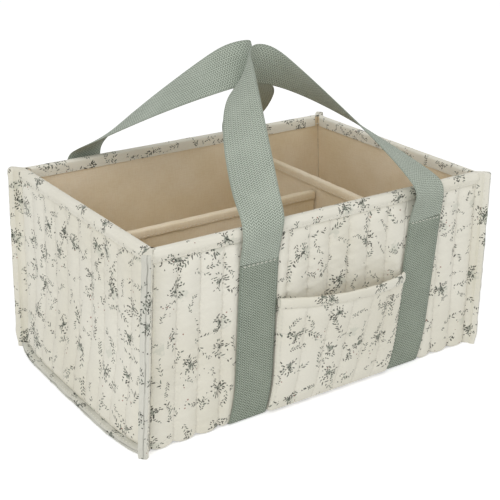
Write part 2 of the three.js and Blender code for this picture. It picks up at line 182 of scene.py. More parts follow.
# Section of cloth folded over an edge, across it and up: two legs that puff out above their seam, between
# them arch * sin(turn) ^ power, and the same inside by a thickness.
def foldSection(fold, front, back, top):
    middle, radius, thick = (front + back) / 2, (back - front) / 2, fold["thickness"]
    legs = np.linspace(top - fold["drop"], top - fold["arch"], fold["legRows"])
    sewn = top - fold["seamDrop"]
    puff = puffed(np.clip((legs - sewn) / (legs[-1] - sewn), 0, 1)) * fold["puff"]
    turn = np.linspace(0, math.pi, fold["archRows"] + 2)[1:-1]
    outer = [front - puff, middle - radius * np.cos(turn), (back + puff * fold["backPuff"])[::-1]]
    inner = [front + thick + 0 * legs, middle - (radius - thick) * np.cos(turn), back - thick + 0 * legs]
    arch = top - fold["arch"] + fold["arch"] * np.sin(turn) ** fold["archPower"]
    inside = top - fold["inside"] + 0 * turn
    return closedSection(outer, inner), closedSection([legs, arch, legs[::-1]], [legs, inside, legs[::-1]])


# Values given along a path, read at other lengths of it.
def readAt(lengths, run, values):
    return np.stack([np.interp(lengths, run, values[:, i]) for i in range(3)], -1)


# An operator of a wire; a reflected one has its values the other way round.
def mathsOperator(operation, isReflected=False):
    def apply(self, other):
        values = (other, self) if isReflected else (self, other)
        return self.graph.maths(operation, *values)
    return apply


# A socket in an expression: every operator adds a Math node.
class Wire:
    def __init__(self, graph, socket):
        self.graph, self.socket = graph, socket

    __add__ = __radd__ = mathsOperator("ADD")
    __mul__ = __rmul__ = mathsOperator("MULTIPLY")
    __sub__, __rsub__ = mathsOperator("SUBTRACT"), mathsOperator("SUBTRACT", True)
    __truediv__, __rtruediv__ = mathsOperator("DIVIDE"), mathsOperator("DIVIDE", True)
    __pow__, __lt__, __gt__ = mathsOperator("POWER"), mathsOperator("LESS_THAN"), mathsOperator("GREATER_THAN")


# A colour's code as linear numbers.
def srgb(code):
    parts = [int(code[i:i + 2], 16) / 255 for i in (0, 2, 4)]
    return tuple(c / 12.92 if c <= 0.04045 else ((c + 0.055) / 1.055) ** 2.4 for c in parts)


class Graph:
    def __init__(self, name, owner=None):
        self.material = owner or bpy.data.materials.new(name)
        self.material.use_nodes = True
        self.tree = self.material.node_tree
        self.shader = self.tree.nodes.get("Principled BSDF")

    # One node of a type, its settings first, then the values or links of its sockets.
    def node(self, kind, settings=None, inputs=None, output=0):
        made = self.tree.nodes.new(kind)
        for key, value in (settings or {}).items():
            setattr(made, key, value)
        for key, value in (inputs or {}).items():
            self.feed(made.inputs[key], value)
        return Wire(self, made.outputs[output])

    # Links a wire to a socket, or sets its value. A colour is given as its code or as three numbers.
    def feed(self, socket, value):
        if isinstance(value, Wire):
            self.tree.links.new(value.socket, socket)
        elif isinstance(value, (str, tuple)):
            socket.default_value = (*(srgb(value) if isinstance(value, str) else value), 1)
        else:
            socket.default_value = value

    def maths(self, operation, *values):
        return self.node("ShaderNodeMath", {"operation": operation}, dict(enumerate(values)))

    def size(self, value):
        return self.maths("ABSOLUTE", value)

    def whole(self, value):
        return self.maths("FLOOR", value)

    def part(self, value):
        return self.maths("FRACT", value)

    def turned(self, angle):
        return self.maths("COSINE", angle), self.maths("SINE", angle)

    # Another output of the node behind a wire.
    def also(self, wire, output):
        return Wire(self, wire.socket.node.outputs[output])

    def split(self, vector):
        parts = self.node("ShaderNodeSeparateXYZ", None, {0: vector})
        return [self.also(parts, i) for i in range(3)]

    def join(self, x, y, z=0.0):
        return self.node("ShaderNodeCombineXYZ", None, {0: x, 1: y, 2: z})

    def blend(self, factor, first, second, kind="MIX"):
        settings = {"data_type": "RGBA", "blend_type": kind}
        return self.node("ShaderNodeMix", settings, {0: factor, 6: first, 7: second}, 2)

    # From 0 at low to 1 at high, eased at both ends.
    def mask(self, value, low, high):
        settings = {"interpolation_type": "SMOOTHSTEP"}
        return self.node("ShaderNodeMapRange", settings, {"Value": value, "From Min": low, "From Max": high})

    def cloth(self, layer="cloth"):
        return self.split(self.node("ShaderNodeUVMap", {"uv_map": layer}))

    def noise(self, vector, scale, detail=2.0, output=0):
        inputs = {"Vector": vector, "Scale": scale, "Detail": detail}
        return self.node("ShaderNodeTexNoise", None, inputs, output)

    # Noise in coordinates that are stretched already.
    def streaks(self, x, y, detail=2.0):
        return self.noise(self.join(x, y), 1.0, detail)

    # How far a value is from the middle between two whole numbers, 0 to 0.5.
    def fromMiddle(self, value):
        return self.size(self.part(value) - 0.5)

    def finish(self, colour, rough, height=None, sheen=0.0):
        self.feed(self.shader.inputs["Base Color"], colour)
        self.feed(self.shader.inputs["Roughness"], rough)
        self.shader.inputs["Sheen Weight"].default_value = sheen
        self.shader.inputs["Specular IOR Level"].default_value = 0.25
        if height is not None:
            bump = self.node("ShaderNodeBump", None, {"Height": height, "Distance": 1.0, "Strength": 1.0})
            self.feed(self.shader.inputs["Normal"], bump)
        return self.material


# Plain weave: threads over and under each other, a product of two sine waves.
def plainWeave(graph, u, v, pitch):
    across = graph.maths("SINE", u * (math.pi / pitch))
    along = graph.maths("SINE", v * (math.pi / pitch))
    return across * along


# The printed cotton: tones, then the sizes of its bursts, drops, dots and sprigs in metres.
printLook = dict(
    ground="EFECDF", shade="E7E3D3", coolGround="DEDDD2", coolShade="D1D0C5",
    leaf="31332C", greyLeaf="6A7367", wash="A4AFA0", berry="93594A",
    weave=0.00045, tremor=0.0014, burstPitch=0.033, burstSpread=0.8, burstChance=0.35, reach=0.0115,
    strokePitch=0.0021, strokeLength=0.0015, strokeWidth=0.00052, dotPitch=0.0042, dotRadius=0.00062,
    sprigCell=0.0320, smallCell=0.0240, smallSize=0.78, stemBend=30.0, stemWidth=0.00013,
    leafPitch=0.0030, leafLength=0.0034, leafWidth=0.00084,
)


# Cells of a plane scattered by chance: the middle of the nearest one, and its three random numbers.
def cells(graph, place, pitch, spread):
    inputs = {"Vector": place, "Scale": 1 / pitch, "Randomness": spread}
    middle = graph.node("ShaderNodeTexVoronoi", {"voronoi_dimensions": "2D"}, inputs, "Position")
    return middle, graph.split(graph.also(middle, "Color"))


# Small drops, one in a cell, crowded round the nearest burst's middle and turned to point away from it.
def burstStrokes(graph, place, pitch, length, width, crowding):
    look = printLook
    dropMiddle, chance = cells(graph, place, pitch, 0.85)
    burstMiddle, luck = cells(graph, dropMiddle, look["burstPitch"], look["burstSpread"])
    x, y, _ = graph.split(place)
    dropX, dropY, _ = graph.split(dropMiddle)
    burstX, burstY, _ = graph.split(burstMiddle)
    outX, outY = dropX - burstX, dropY - burstY
    away = graph.maths("SQRT", outX * outX + outY * outY)
    heading = graph.maths("ARCTAN2", outY, outX)
    arm = graph.maths("COSINE", heading * 3.0 + away * 200.0 + luck[0] * waveTurn)
    crowd = graph.mask(away, look["reach"], look["reach"] * 0.30) * (luck[1] > look["burstChance"])
    kept = (crowd * (arm * 0.5 + 0.6) * crowding > chance[0]) * 1.0
    cosine, sine = graph.turned(heading + (chance[1] - 0.5) * 1.5)
    size = chance[2] * 0.5 + 0.65
    along = ((x - dropX) * cosine + (y - dropY) * sine) / size * (1 / length)
    across = ((y - dropY) * cosine - (x - dropX) * sine) / size * (1 / width)
    across = across / (1.15 - along * 0.4)
    drop = graph.mask(along * along + across * across, 1.15, 0.75)
    return drop * kept, chance


# A lattice of sprigs: in each cell a bent stem with slanting leaves on both sides, turned by chance.
def sprigs(graph, u, v, cell, size, shift):
    look = printLook
    cellU, cellV = u * (1 / cell) + shift, v * (1 / cell) + shift * 0.37
    row = graph.whole(cellV)
    cellU = cellU + row * 0.37
    column = graph.whole(cellU)
    chance = graph.node("ShaderNodeTexWhiteNoise", None, {"Vector": graph.join(column, row, shift)}, "Color")
    first, second, third = graph.split(chance)
    x = (graph.part(cellU) - 0.5 + (first - 0.5) * 0.3) * cell
    y = (graph.part(cellV) - 0.5 + (second - 0.5) * 0.3) * cell
    cosine, sine = graph.turned(third * waveTurn)
    along = x * cosine + y * sine
    across = y * cosine - x * sine - along * along * ((first - 0.5) * (look["stemBend"] / size))
    reach = graph.size(along) * (1 / (0.36 * cell))
    away, side = graph.size(across), graph.maths("SIGN", across)
    pitch, leafLength = look["leafPitch"] * size, look["leafLength"] * size
    station = (along - away * 0.8) * (1 / pitch) + side * 0.21
    inputs = {"Vector": graph.join(graph.whole(station), side, column), "W": row + second}
    leafChance = graph.node("ShaderNodeTexWhiteNoise", {"noise_dimensions": "4D"}, inputs, "Color")
    keep, tint, stretch = graph.split(leafChance)
    stand = away * (1 / leafLength) / (0.45 + stretch * 0.75)
    place = graph.part(station) - 0.5 + (tint - 0.5) * 0.3
    swollen = graph.maths("SINE", graph.maths("MINIMUM", stand, 1.0) ** 0.8 * 3.1416)
    inLeaf = graph.size(place) * pitch < swollen * (look["leafWidth"] * size)
    leaf = inLeaf * (keep > 0.38) * (reach < 1.0) * (stand > 0.16)
    stem = (away < look["stemWidth"] * size) * (reach < 0.8)
    shown = (second > 0.08) * 1.0
    return leaf * shown, stem * shown, tint


# Soft grey washes behind the bursts, with blotched borders.
def burstWashes(graph, u, v, place, colour):
    blotch = graph.noise(place, 260.0, 3.0)
    burstMiddle, luck = cells(graph, place, printLook["burstPitch"], printLook["burstSpread"])
    burstX, burstY, _ = graph.split(burstMiddle)
    x, y = u - burstX, v - burstY
    away = graph.maths("SQRT", x * x + y * y) + (blotch - 0.5) * 0.011
    aside = graph.maths("SQRT", (x - 0.004) ** 2.0 + (y + 0.003) ** 2.0) + (blotch - 0.5) * 0.018
    wash = graph.mask(aside, 0.0062, 0.0030) * (luck[2] > 0.50)
    heart = graph.mask(away, 0.0034, 0.0014) * (luck[1] > printLook["burstChance"])
    colour = graph.blend(wash * 0.24, colour, printLook["wash"])
    return graph.blend(heart * 0.70, colour, printLook["greyLeaf"])


# The whole print on a ground: washes, two sizes of sprigs, bursts of drops and loose dots.
def drawnPrint(graph, u, v, place, colour):
    look = printLook
    leafTone, greyTone = look["leaf"], look["greyLeaf"]
    tremor = graph.split(graph.noise(place, 230.0, 1.0, "Color"))
    drawnU, drawnV = (each + (tremor[i] - 0.5) * look["tremor"] for i, each in enumerate((u, v)))
    colour = burstWashes(graph, u, v, place, colour)
    for cell, size, shift in ((look["sprigCell"], 1.0, 0.31), (look["smallCell"], look["smallSize"], 7.63)):
        leaf, stem, tint = sprigs(graph, drawnU, drawnV, cell, size, shift)
        colour = graph.blend(stem * 0.40, colour, greyTone)
        colour = graph.blend(leaf * 0.90, colour, graph.blend((tint > 0.58) * 0.9, leafTone, greyTone))
    drawn = graph.join(drawnU, drawnV)
    length, width = look["strokeLength"], look["strokeWidth"]
    stroke, chance = burstStrokes(graph, drawn, look["strokePitch"], length, width, 1.25)
    colour = graph.blend(stroke * 0.92, colour, graph.blend((chance[1] > 0.66) * 0.8, leafTone, greyTone))
    shifted, radius = graph.join(drawnU + 0.37, drawnV + 0.11), look["dotRadius"]
    dot, chance = burstStrokes(graph, shifted, look["dotPitch"], radius, radius, 0.8)
    return graph.blend(dot * 0.85, colour, graph.blend(chance[1] > 0.70, leafTone, look["berry"]))


# Tones of seams and folds: the seam shade darkens the cloth beside each quilting seam as painted shade, fold
# is painted shade in a binding's crease, and thread is the thread's own colour.
seamLook = dict(paintedSeamShade="CFC6B0", thread="F4F0E4", fold="7D7C72", stitch=0.0034)


# Seams between the channels of quilted cloth: painted shade where the cloth dips beside each seam, its thread,
# and puckers beside it.
def quiltSeams(graph, colour, height):
    channel, length, _ = graph.cloth("quilt")
    toSeam = 0.5 - graph.fromMiddle(channel)
    dash = graph.fromMiddle(length * (1 / seamLook["stitch"])) < 0.36
    # Painted shade: the cloth darkens towards each seam, where the channels dip.
    colour = graph.blend(graph.mask(toSeam, 0.040, 0.010) * 0.16, colour, seamLook["paintedSeamShade"])
    thread = graph.mask(toSeam, 0.020, 0.010) * dash
    colour = graph.blend(thread * 0.7, colour, seamLook["thread"])
    pucker = graph.streaks(channel * 9.0, length * 330.0, 1.0) * graph.mask(toSeam, 0.22, 0.02)
    return colour, height + pucker * 0.0008 + thread * 0.00022


# The line where a binding is folded, drifting to and fro and broken here and there: a shallow groove, darkened
# with painted shade.
def bindingFold(graph, colour, height):
    across, run, _ = graph.cloth("edge")
    drift = (graph.streaks(run * 60.0, 0.0, 1.0) - 0.5) * 0.0016
    fold = graph.mask(graph.size(across + drift + 0.0010), 0.00065, 0.00015)
    broken = graph.mask(graph.streaks(run * 45.0, 3.0), 0.38, 0.60)
    # Painted shade: a dark line along the fold's crease.
    colour = graph.blend(fold * (broken * 0.50 + 0.06), colour, seamLook["fold"])
    return colour, height - fold * 0.0004


def printedCotton(name, ground, shade, addSeams=None):
    graph = Graph(name)
    u, v, _ = graph.cloth()
    place = graph.join(u, v)
    cloud = graph.noise(place, 9.0)
    colour = graph.blend(graph.mask(cloud, 0.35, 0.75), ground, shade)
    colour = drawnPrint(graph, u, v, place, colour)
    slub = graph.streaks(u * 260.0, v * 1400.0)
    weave = plainWeave(graph, u, v, printLook["weave"])
    height = weave * 0.00003 + graph.noise(place, 160.0, 3.0) * 0.00025
    if addSeams:
        colour, height = addSeams(graph, colour, height)
    colour = graph.blend(0.06, colour, slub, "MULTIPLY")
    return graph.finish(colour, 0.86 + cloud * 0.1, height, sheen=0.06)


# Unprinted cotton: two tones in soft clouds, with slubs both ways.
def plainCotton(name, tone, second, weave):
    graph = Graph(name)
    u, v, _ = graph.cloth()
    place = graph.join(u, v)
    slub = graph.streaks(u * 900.0, v * 120.0)
    warp = graph.streaks(u * 120.0, v * 900.0)
    colour = graph.blend(graph.mask(graph.noise(place, 14.0), 0.3, 0.75), tone, second)
    colour = graph.blend(graph.mask(slub, 0.5, 0.8) * 0.10, colour, "FFFFFF", "MULTIPLY")
    colour = graph.blend(graph.mask(slub * warp, 0.32, 0.16) * 0.16, colour, second, "MULTIPLY")
    height = plainWeave(graph, u, v, weave) * 0.00005 + (slub + warp) * 0.00006
    return graph.finish(colour, 0.88, height + graph.noise(place, 70.0, 3.0) * 0.0006, sheen=0.05)


# One webbing in two copies: sewn is darkened with painted shade for the straps on the walls, loose is
# lightened with painted light for the handles.
webbingLook = dict(
    sewn=dict(tone="7F8A7B", light="BBC5B5", deep="27301F"),
    loose=dict(tone="9AA598", light="D3DCCE", deep="3E4836"),
    rib=0.0046, step=0.0024, slant=2.1, width=0.040, selvedge=0.0011,
)


# Herringbone webbing: threads slant one way, then the other, from rib to rib; a plain selvedge on both edges.
def webbingCloth(name, tones):
    look = webbingLook
    tone, light, deep = (look[tones][key] for key in ("tone", "light", "deep"))
    graph = Graph(name)
    across, along, _ = graph.cloth()
    place = graph.join(across, along)
    loose = graph.noise(place, 500.0)
    zigzag = graph.maths("PINGPONG", across * (1 / look["rib"]) + (loose - 0.5) * 0.08, 0.5)
    slanted = along * (1 / look["step"]) + zigzag * look["slant"] + (loose - 0.5) * 0.35
    inStep = graph.fromMiddle(slanted) * 2
    inRib = graph.size(zigzag - 0.25) * 4
    dash = (1 - inStep ** 1.6) * (1 - inRib ** 6.0 * 0.6)
    selvedge = graph.mask(graph.size(across) * (2 / look["width"]), 0.925, 0.955)
    selvedgeRib = graph.maths("SINE", along * (waveTurn / look["selvedge"])) * 0.5 + 0.5
    thread = graph.maths("MULTIPLY_ADD", selvedge, selvedgeRib - dash, dash)
    cloud = graph.noise(place, 30.0, 3.0)
    streak = graph.streaks(across * 900.0, along * 9.0)
    colour = graph.blend(0.15, graph.blend(thread, deep, light), tone)
    colour = graph.blend(graph.mask(cloud, 0.35, 0.8) * 0.18, colour, light)
    colour = graph.blend(graph.mask(streak, 0.55, 0.8) * 0.15, colour, deep)
    return graph.finish(colour, 0.78, thread * 0.00030 + cloud * 0.0003, sheen=0.10)


# Short loops or hooks on a tape, as rows of raised dots.
def fastenerTape(name, pitch, tone):
    graph = Graph(name)
    point = graph.node("ShaderNodeTexCoord", None, None, "Object")
    loops = graph.node("ShaderNodeTexVoronoi", {"feature": "F1"}, {"Vector": point, "Scale": 1 / pitch})
    fuzz = graph.noise(point, 900.0, 4.0)
    colour = graph.blend(graph.mask(loops, 0.15, 0.75), tone, "C9C2B2")
    return graph.finish(colour, 0.95, (1 - loops) * 0.0004 + fuzz * 0.0002, sheen=0.15)


# Foam board: a fine open grain.
def foamBoard(name):
    graph = Graph(name)
    point = graph.node("ShaderNodeTexCoord", None, None, "Object")
    colour = graph.blend(graph.mask(graph.noise(point, 40.0), 0.3, 0.8), "CFC8B8", "BDB5A4")
    return graph.finish(colour, 0.9, graph.noise(point, 1200.0, 3.0) * 0.0002)


# Sewing thread: its twist shows as slanting stripes.
def twistedThread(name, tone):
    graph = Graph(name)
    u, v, _ = graph.cloth()
    twist = graph.maths("SINE", (u + v) * (waveTurn / 0.0009))
    colour = graph.blend(twist * 0.12 + 0.12, tone, "FFFFFF")
    return graph.finish(colour, 0.6, twist * 0.00005, sheen=0.1)


# The quilted print carries painted shade beside its seams, and the binding print carries painted shade in its
# fold's crease.
quiltedPrint = printedCotton("quiltedPrint", printLook["ground"], printLook["shade"], quiltSeams)
flatPrint = printedCotton("flatPrint", printLook["ground"], printLook["shade"])
bindingPrint = printedCotton("bindingPrint", printLook["coolGround"], printLook["coolShade"], bindingFold)
liningCotton = plainCotton("liningCotton", "F0E2C9", "E6D5B5", 0.0007)
baseCloth = plainCotton("baseCloth", "DAD2C0", "CFC6B2", 0.0008)
# The same webbing twice: painted shade on the straps sewn to the walls, painted light on the handles.
sewnWebbingPaintedShade = webbingCloth("sewnWebbingPaintedShade", "sewn")
looseWebbingPaintedLight = webbingCloth("looseWebbingPaintedLight", "loose")
loopTape = fastenerTape("loopTape", 0.0016, "EDE8DC")
boardFoam = foamBoard("boardFoam")
paleThread = twistedThread("paleThread", "E6E3D6")
sageThread = twistedThread("sageThread", "899687")
liningThread = twistedThread("liningThread", "EADDC4")
print("materials made")


# The body that every wall piece is laid out on.
body = dict(
    length=0.380, width=0.246, height=0.185, endLean=0.007, sideLean=0.005, foot=0.0083, top=0.1836,
    endFoot=0.0053, bend=0.0026, crease=0.0002,
    slot=0.0025, flangeSlot=0.0043, mitreSlot=0.00015, gap=0.0003,
)


def halfLengthAt(z):
    return body["length"] / 2 - body["endLean"] * z / body["height"]


def halfWidthAt(z):
    return body["width"] / 2 + body["sideLean"] * z / body["height"]


walls = {
    "front": dict(reach=halfWidthAt, span=halfLengthAt, turn=0.0, isLong=True, shift=0.0),
    "right": dict(reach=halfLengthAt, span=halfWidthAt, turn=quarterTurn, isLong=False, shift=0.317),
    "back": dict(reach=halfWidthAt, span=halfLengthAt, turn=math.pi, isLong=True, shift=0.629),
    "left": dict(reach=halfLengthAt, span=halfWidthAt, turn=-quarterTurn, isLong=False, shift=0.944),
}


# A wall's own frame: x to the right seen from outside, depth in from its face, z up; turned to its side.
def wallPoints(wall, x, depth, z):
    x, depth, z = np.broadcast_arrays(x, depth, z)
    y = depth - wall["reach"](z)
    cosine, sine = math.cos(wall["turn"]), math.sin(wall["turn"])
    return np.stack([cosine * x - sine * y, sine * x + cosine * y, z], -1)


# The way out of a wall, level.
def wallOutward(wall):
    return np.array([math.sin(wall["turn"]), -math.cos(wall["turn"]), 0.0])


# Half of a layer's length along a wall, cut on the corner's diagonal with a slot beside it.
def mitredHalf(wall, depth, z, slot="slot"):
    return wall["span"](z) - depth - body[slot] * diagonal


stitch = dict(pitch=0.0041, length=0.0030, radius=0.00034, rise=0.00026, sink=0.00040)


# Stitches along lines, each line with its way out. A stitch is a short capsule, its middle proud of the
# cloth and its ends sunk into it: height = rise * (1 - share^2) - sink * share^2, and its radius is
# radius * sqrt(1 - 0.8 share^2).
def stitchRows(name, rows, material, bodyName):
    share = np.linspace(-1, 1, 5)[None, :, None]
    turn = np.linspace(0, 2 * math.pi, 7)[None, None, :-1]
    height = stitch["rise"] * (1 - share ** 2) - stitch["sink"] * share ** 2
    radius = stitch["radius"] * np.sqrt(1 - 0.8 * share ** 2)
    blocks = []
    for line, outward in rows:
        run = alongPath(line)
        count = int(run[-1] / stitch["pitch"])
        lengths = (np.arange(count) + 0.5) * run[-1] / count
        middle = readAt(lengths, run, line)
        lift = unit(readAt(lengths, run, np.broadcast_to(outward, line.shape)))
        heading = squareTo(lift, readAt(lengths, run, np.gradient(line, axis=0)))
        middle, heading, lift = (each[:, None, None, :] for each in (middle, heading, lift))
        points = middle + heading * (share * stitch["length"] / 2)[..., None]
        points = points + lift * (height + radius * np.sin(turn))[..., None]
        blocks.append(points + np.cross(heading, lift) * (radius * 1.25 * np.cos(turn))[..., None])
    points = np.concatenate(blocks)
    faces = (sweepFaces(5, 6)[None] + 30 * np.arange(len(points))[:, None, None]).reshape(-1, 4)
    cloth = np.broadcast_to(together(share * stitch["length"], turn * 0.0003), (len(points), 5, 6, 2))
    return addPiece(name, points, faces, {"cloth": cloth}, [material], bodyName)


# Lengths of rows up a wall. A long wall's cloth comes from under the base and round a tight bend.
def rowLengths(wall, top, upRows):
    if not wall["isLong"]:
        return np.linspace(0, top - body["endFoot"], upRows)
    flat, arc = body["foot"] - body["bend"], quarterTurn * body["bend"]
    under = [np.linspace(0, flat, 6)[:-1], np.linspace(flat, flat + arc, 13)[:-1]]
    return np.concatenate(under + [flat + arc + np.linspace(0, top - body["bend"], upRows)])


# Depth and height of a layer in a row. Each layer bends about its own middle, as deep as it is high, at
# max(bend, layer + crease).
def rowPlace(wall, length, layer):
    if not wall["isLong"]:
        z = body["endFoot"] + length
        return layer + 0 * length, z + 0 * layer, z
    flat, arc = body["foot"] - body["bend"], quarterTurn * body["bend"]
    corner = np.maximum(body["bend"], layer + body["crease"])
    angle = quarterTurn * np.clip(1 - (length - flat) / arc, 0, 1)
    up = np.maximum(length - flat - arc, 0)
    under = np.clip(1 - length / flat, 0, 1)
    depth = corner - (corner - layer) * np.cos(angle) + (body["foot"] - corner) * under
    toTop = 1 - up / (body["top"] - body["bend"])
    z = corner - (corner - layer) * np.sin(angle) + up - (corner - body["bend"]) * (1 - toTop)
    return depth, z, body["bend"] + up


straps = dict(
    width=0.040, thickness=0.0015, stitch=0.152, shiftLow=0.012, shiftHigh=0.018, spanLow=0.091,
    spanHigh=0.094, front=0.00015, back=0.00165, edgeStitch=0.0174, crossStitch=0.1506, crossSlant=-0.012,
    pull=0.0060, pullHeight=0.042, upRows=110,
)


# Middle of a strap at a height; its foot is drawn a little to one side, by pull * (1 - z / pullHeight) ^ 2.
def strapMiddle(side, z):
    share = z / straps["stitch"]
    shift = straps["shiftLow"] + (straps["shiftHigh"] - straps["shiftLow"]) * share
    shift = shift - straps["pull"] * np.clip(1 - z / straps["pullHeight"], 0, 1) ** 2
    return shift + side * (straps["spanLow"] + (straps["spanHigh"] - straps["spanLow"]) * share)


belly = dict(out=0.0085, height=0.085, power=5, inset=0.004)


# The foot of an end wall bulges between its corners: out * (1 - |x / half| ^ power), fading up the wall.
def bellyAt(wall, x, z):
    if wall["isLong"]:
        return 0 * x
    share = np.clip(np.abs(x) / (wall["span"](0) - belly["inset"]), 0, 1)
    return belly["out"] * (1 - share ** belly["power"]) * smooth(belly["height"], 0, z)


quilt = dict(
    loft=0.003, back=0.0042, hemCover=0.0113, fade=0.010, footFade=0.004, endFade=0.005, endLoft=0.75,
    power=2.2, pressed=0.35, pressFrom=0.0005, pressTo=0.006, longChannels=16, endChannels=10, steps=14,
    rows=150, pucker=0.00045, slack=0.00035, smallSlack=0.00022, freeRun=0.008,
)


# How far a channel's cloth may rise at each place: full between the straps, pressed under them.
def strapPress(wall, x, wallZ):
    press = np.ones_like(x + wallZ)
    if wall["isLong"]:
        for strap in (-1, 1):
            away = np.abs(x - strapMiddle(strap, wallZ)) - straps["width"] / 2
            near = smooth(quilt["pressFrom"], quilt["pressTo"], away)
            press = np.minimum(press, quilt["pressed"] + (1 - quilt["pressed"]) * near)
    return press


# Upright channels: depth = loft * (1 - rise), rise = (1 - |2 share - 1| ^ power) * swell from the held edges,
# with small folds beside the seams and slack between them.
def quiltedPanel(side):
    wall = walls[side]
    isLong = wall["isLong"]
    channels, endLoft = (quilt["longChannels"], 1.0) if isLong else (quilt["endChannels"], quilt["endLoft"])
    length = rowLengths(wall, body["top"], quilt["rows"])[:, None]
    share = np.linspace(-1, 1, channels * quilt["steps"] + 1)[None, :]
    depth, z, wallZ = rowPlace(wall, length, quilt["loft"])
    x = share * mitredHalf(wall, depth, z)
    channel = (share + 1) / 2 * channels
    fromSeam = np.abs(2 * (channel - np.floor(channel)) - 1)
    fromFoot = length / (quilt["footFade"] if isLong else quilt["endFade"])
    fromHem = (body["height"] - quilt["hemCover"] - wallZ) / quilt["fade"]
    swell = np.sin(quarterTurn * np.clip(np.minimum(fromFoot, fromHem), 0, 1)) * endLoft
    press = strapPress(wall, x, wallZ)
    rise = (1 - fromSeam ** quilt["power"]) * swell * press
    free = smooth(body["bend"], body["bend"] + quilt["freeRun"], wallZ)
    folds = ripple(x * 0.4, length + x * 0.2, 0.011, 5) * (fromSeam ** 3 * press) * quilt["pucker"] * free
    slack = ripple(x, length, 0.060, 9) * quilt["slack"]
    slack = slack + ripple(x, length * 2.2, 0.024, 11) * quilt["smallSlack"]
    face, faceZ, _ = rowPlace(wall, length, quilt["loft"] * (1 - rise) + folds + slack * rise * free)
    front = wallPoints(wall, x, face - bellyAt(wall, x, faceZ), faceZ)
    inner, innerZ, _ = rowPlace(wall, length, quilt["back"])
    back = wallPoints(wall, share * mitredHalf(wall, inner, innerZ), inner, innerZ)
    maps = {"cloth": together(x + wall["shift"], length), "quilt": together(channel, length)}
    piece = addShell(f"{side}_quilted_wall", front, back, maps, quiltedPrint, f"{side}_quilted_panel")


for side in walls:
    quiltedPanel(side)
print("quilted walls made")


hem = dict(front=0.0016, back=0.0092, drop=0.011, seamDrop=0.0092, thickness=0.0011, puff=0.0009, backPuff=0.2,
           arch=0.0026, archPower=0.75, archRows=11, inside=0.00125, legRows=8, steps=180, wave=0.00022,
           smallWave=0.00010)


# The folded rim: its section carried along the wall, its outside slightly waved.
def rimHem(side):
    wall = walls[side]
    sewn = body["height"] - hem["seamDrop"]
    depth, z = foldSection(hem, hem["front"], hem["back"], body["height"])
    x = np.linspace(-1, 1, hem["steps"])[:, None] * mitredHalf(wall, depth, z)
    wave = waved(x, hem, 0.045, 0.012, 21) * onOutside(depth)
    away = np.where(depth < (hem["front"] + hem["back"]) / 2, -1.0, 1.0)
    points = wallPoints(wall, x, depth + away * np.abs(wave), z + wave * 0.4)
    around = aroundSection(depth, z)
    maps = {"cloth": together(x + wall["shift"] + 0.11, around + 0.211)}
    piece = addSweep(f"{side}_rim_fold", points, maps, flatPrint, "caddy", f"{side}_rim_hem")
    reach = wall["span"](sewn) - 0.007
    x = np.linspace(-reach, reach, 120)
    outward = wallOutward(wall)
    front, back = (wallPoints(wall, x, hem[face] - 0.0001, sewn) for face in ("front", "back"))
    return [(front, outward), (back, -outward)]


rimRows = []
for side in walls:
    rimRows += rimHem(side)
stitchRows("rim_stitches", rimRows, paleThread, "caddy")
print("rim hems made")


flange = dict(
    half=0.004, reach=0.007, neckHalf=0.0022, shoulder=0.002, notch=0.009475, lip=0.0004, lipAt=0.0010,
    swellFrom=0.0014, corner=0.0013, ridge=0.0003, ridgeWidth=0.0006, groove=0.4, grooveAt=0.0014, steps=150,
    wave=0.00034, smallWave=0.00012, pucker=0.00020, topRound=0.0016, topShares=(0.15, 0.35, 0.6, 1.0),
    topTaper=0.30, footTaper=0.26, footRun=0.014, stitchOut=0.0024,
)


# Section of a bound corner, out along the corner's diagonal and across it: a neck between both walls' edges,
# a smooth step to the flange, the binding's edge as a lip, then a corner and a nearly flat end with a ridge.
def flangeSection():
    half, reach, corner = flange["half"], flange["reach"], flange["corner"]
    neck, lip, lipAt = flange["neckHalf"], flange["lip"], flange["lipAt"]
    turn = np.linspace(-quarterTurn, 0, 6)[1:]
    straight = np.concatenate([np.linspace(-flange["notch"] - neck, -flange["shoulder"], 4),
                               np.linspace(-flange["swellFrom"], lipAt - 0.0001, 4),
                               np.linspace(lipAt + 0.0001, reach - corner, 5)])
    swell = smooth(-flange["shoulder"], lipAt, straight)
    halfAt = neck + (half - lip - neck) * swell + lip * (straight > lipAt)
    end = np.linspace(-half + corner, -0.0001, 8)[1:]
    width = flange["ridgeWidth"]
    groove = flange["groove"] * np.exp(-((end + flange["grooveAt"]) / width) ** 2)
    ridge = flange["ridge"] * (np.exp(-(end / width) ** 2) - groove)
    out = np.concatenate([[-flange["notch"]], straight, reach - corner + corner * np.cos(turn), reach + ridge])
    across = np.concatenate([[-0.00002], -halfAt, -half + corner + corner * np.sin(turn), end])
    isTape = np.arange(2 * len(out)) > len(straight)
    mirrored = np.concatenate([out, out[::-1]])[None, :], np.concatenate([across, -across[::-1]])[None, :]
    return *mirrored, isTape & isTape[::-1]


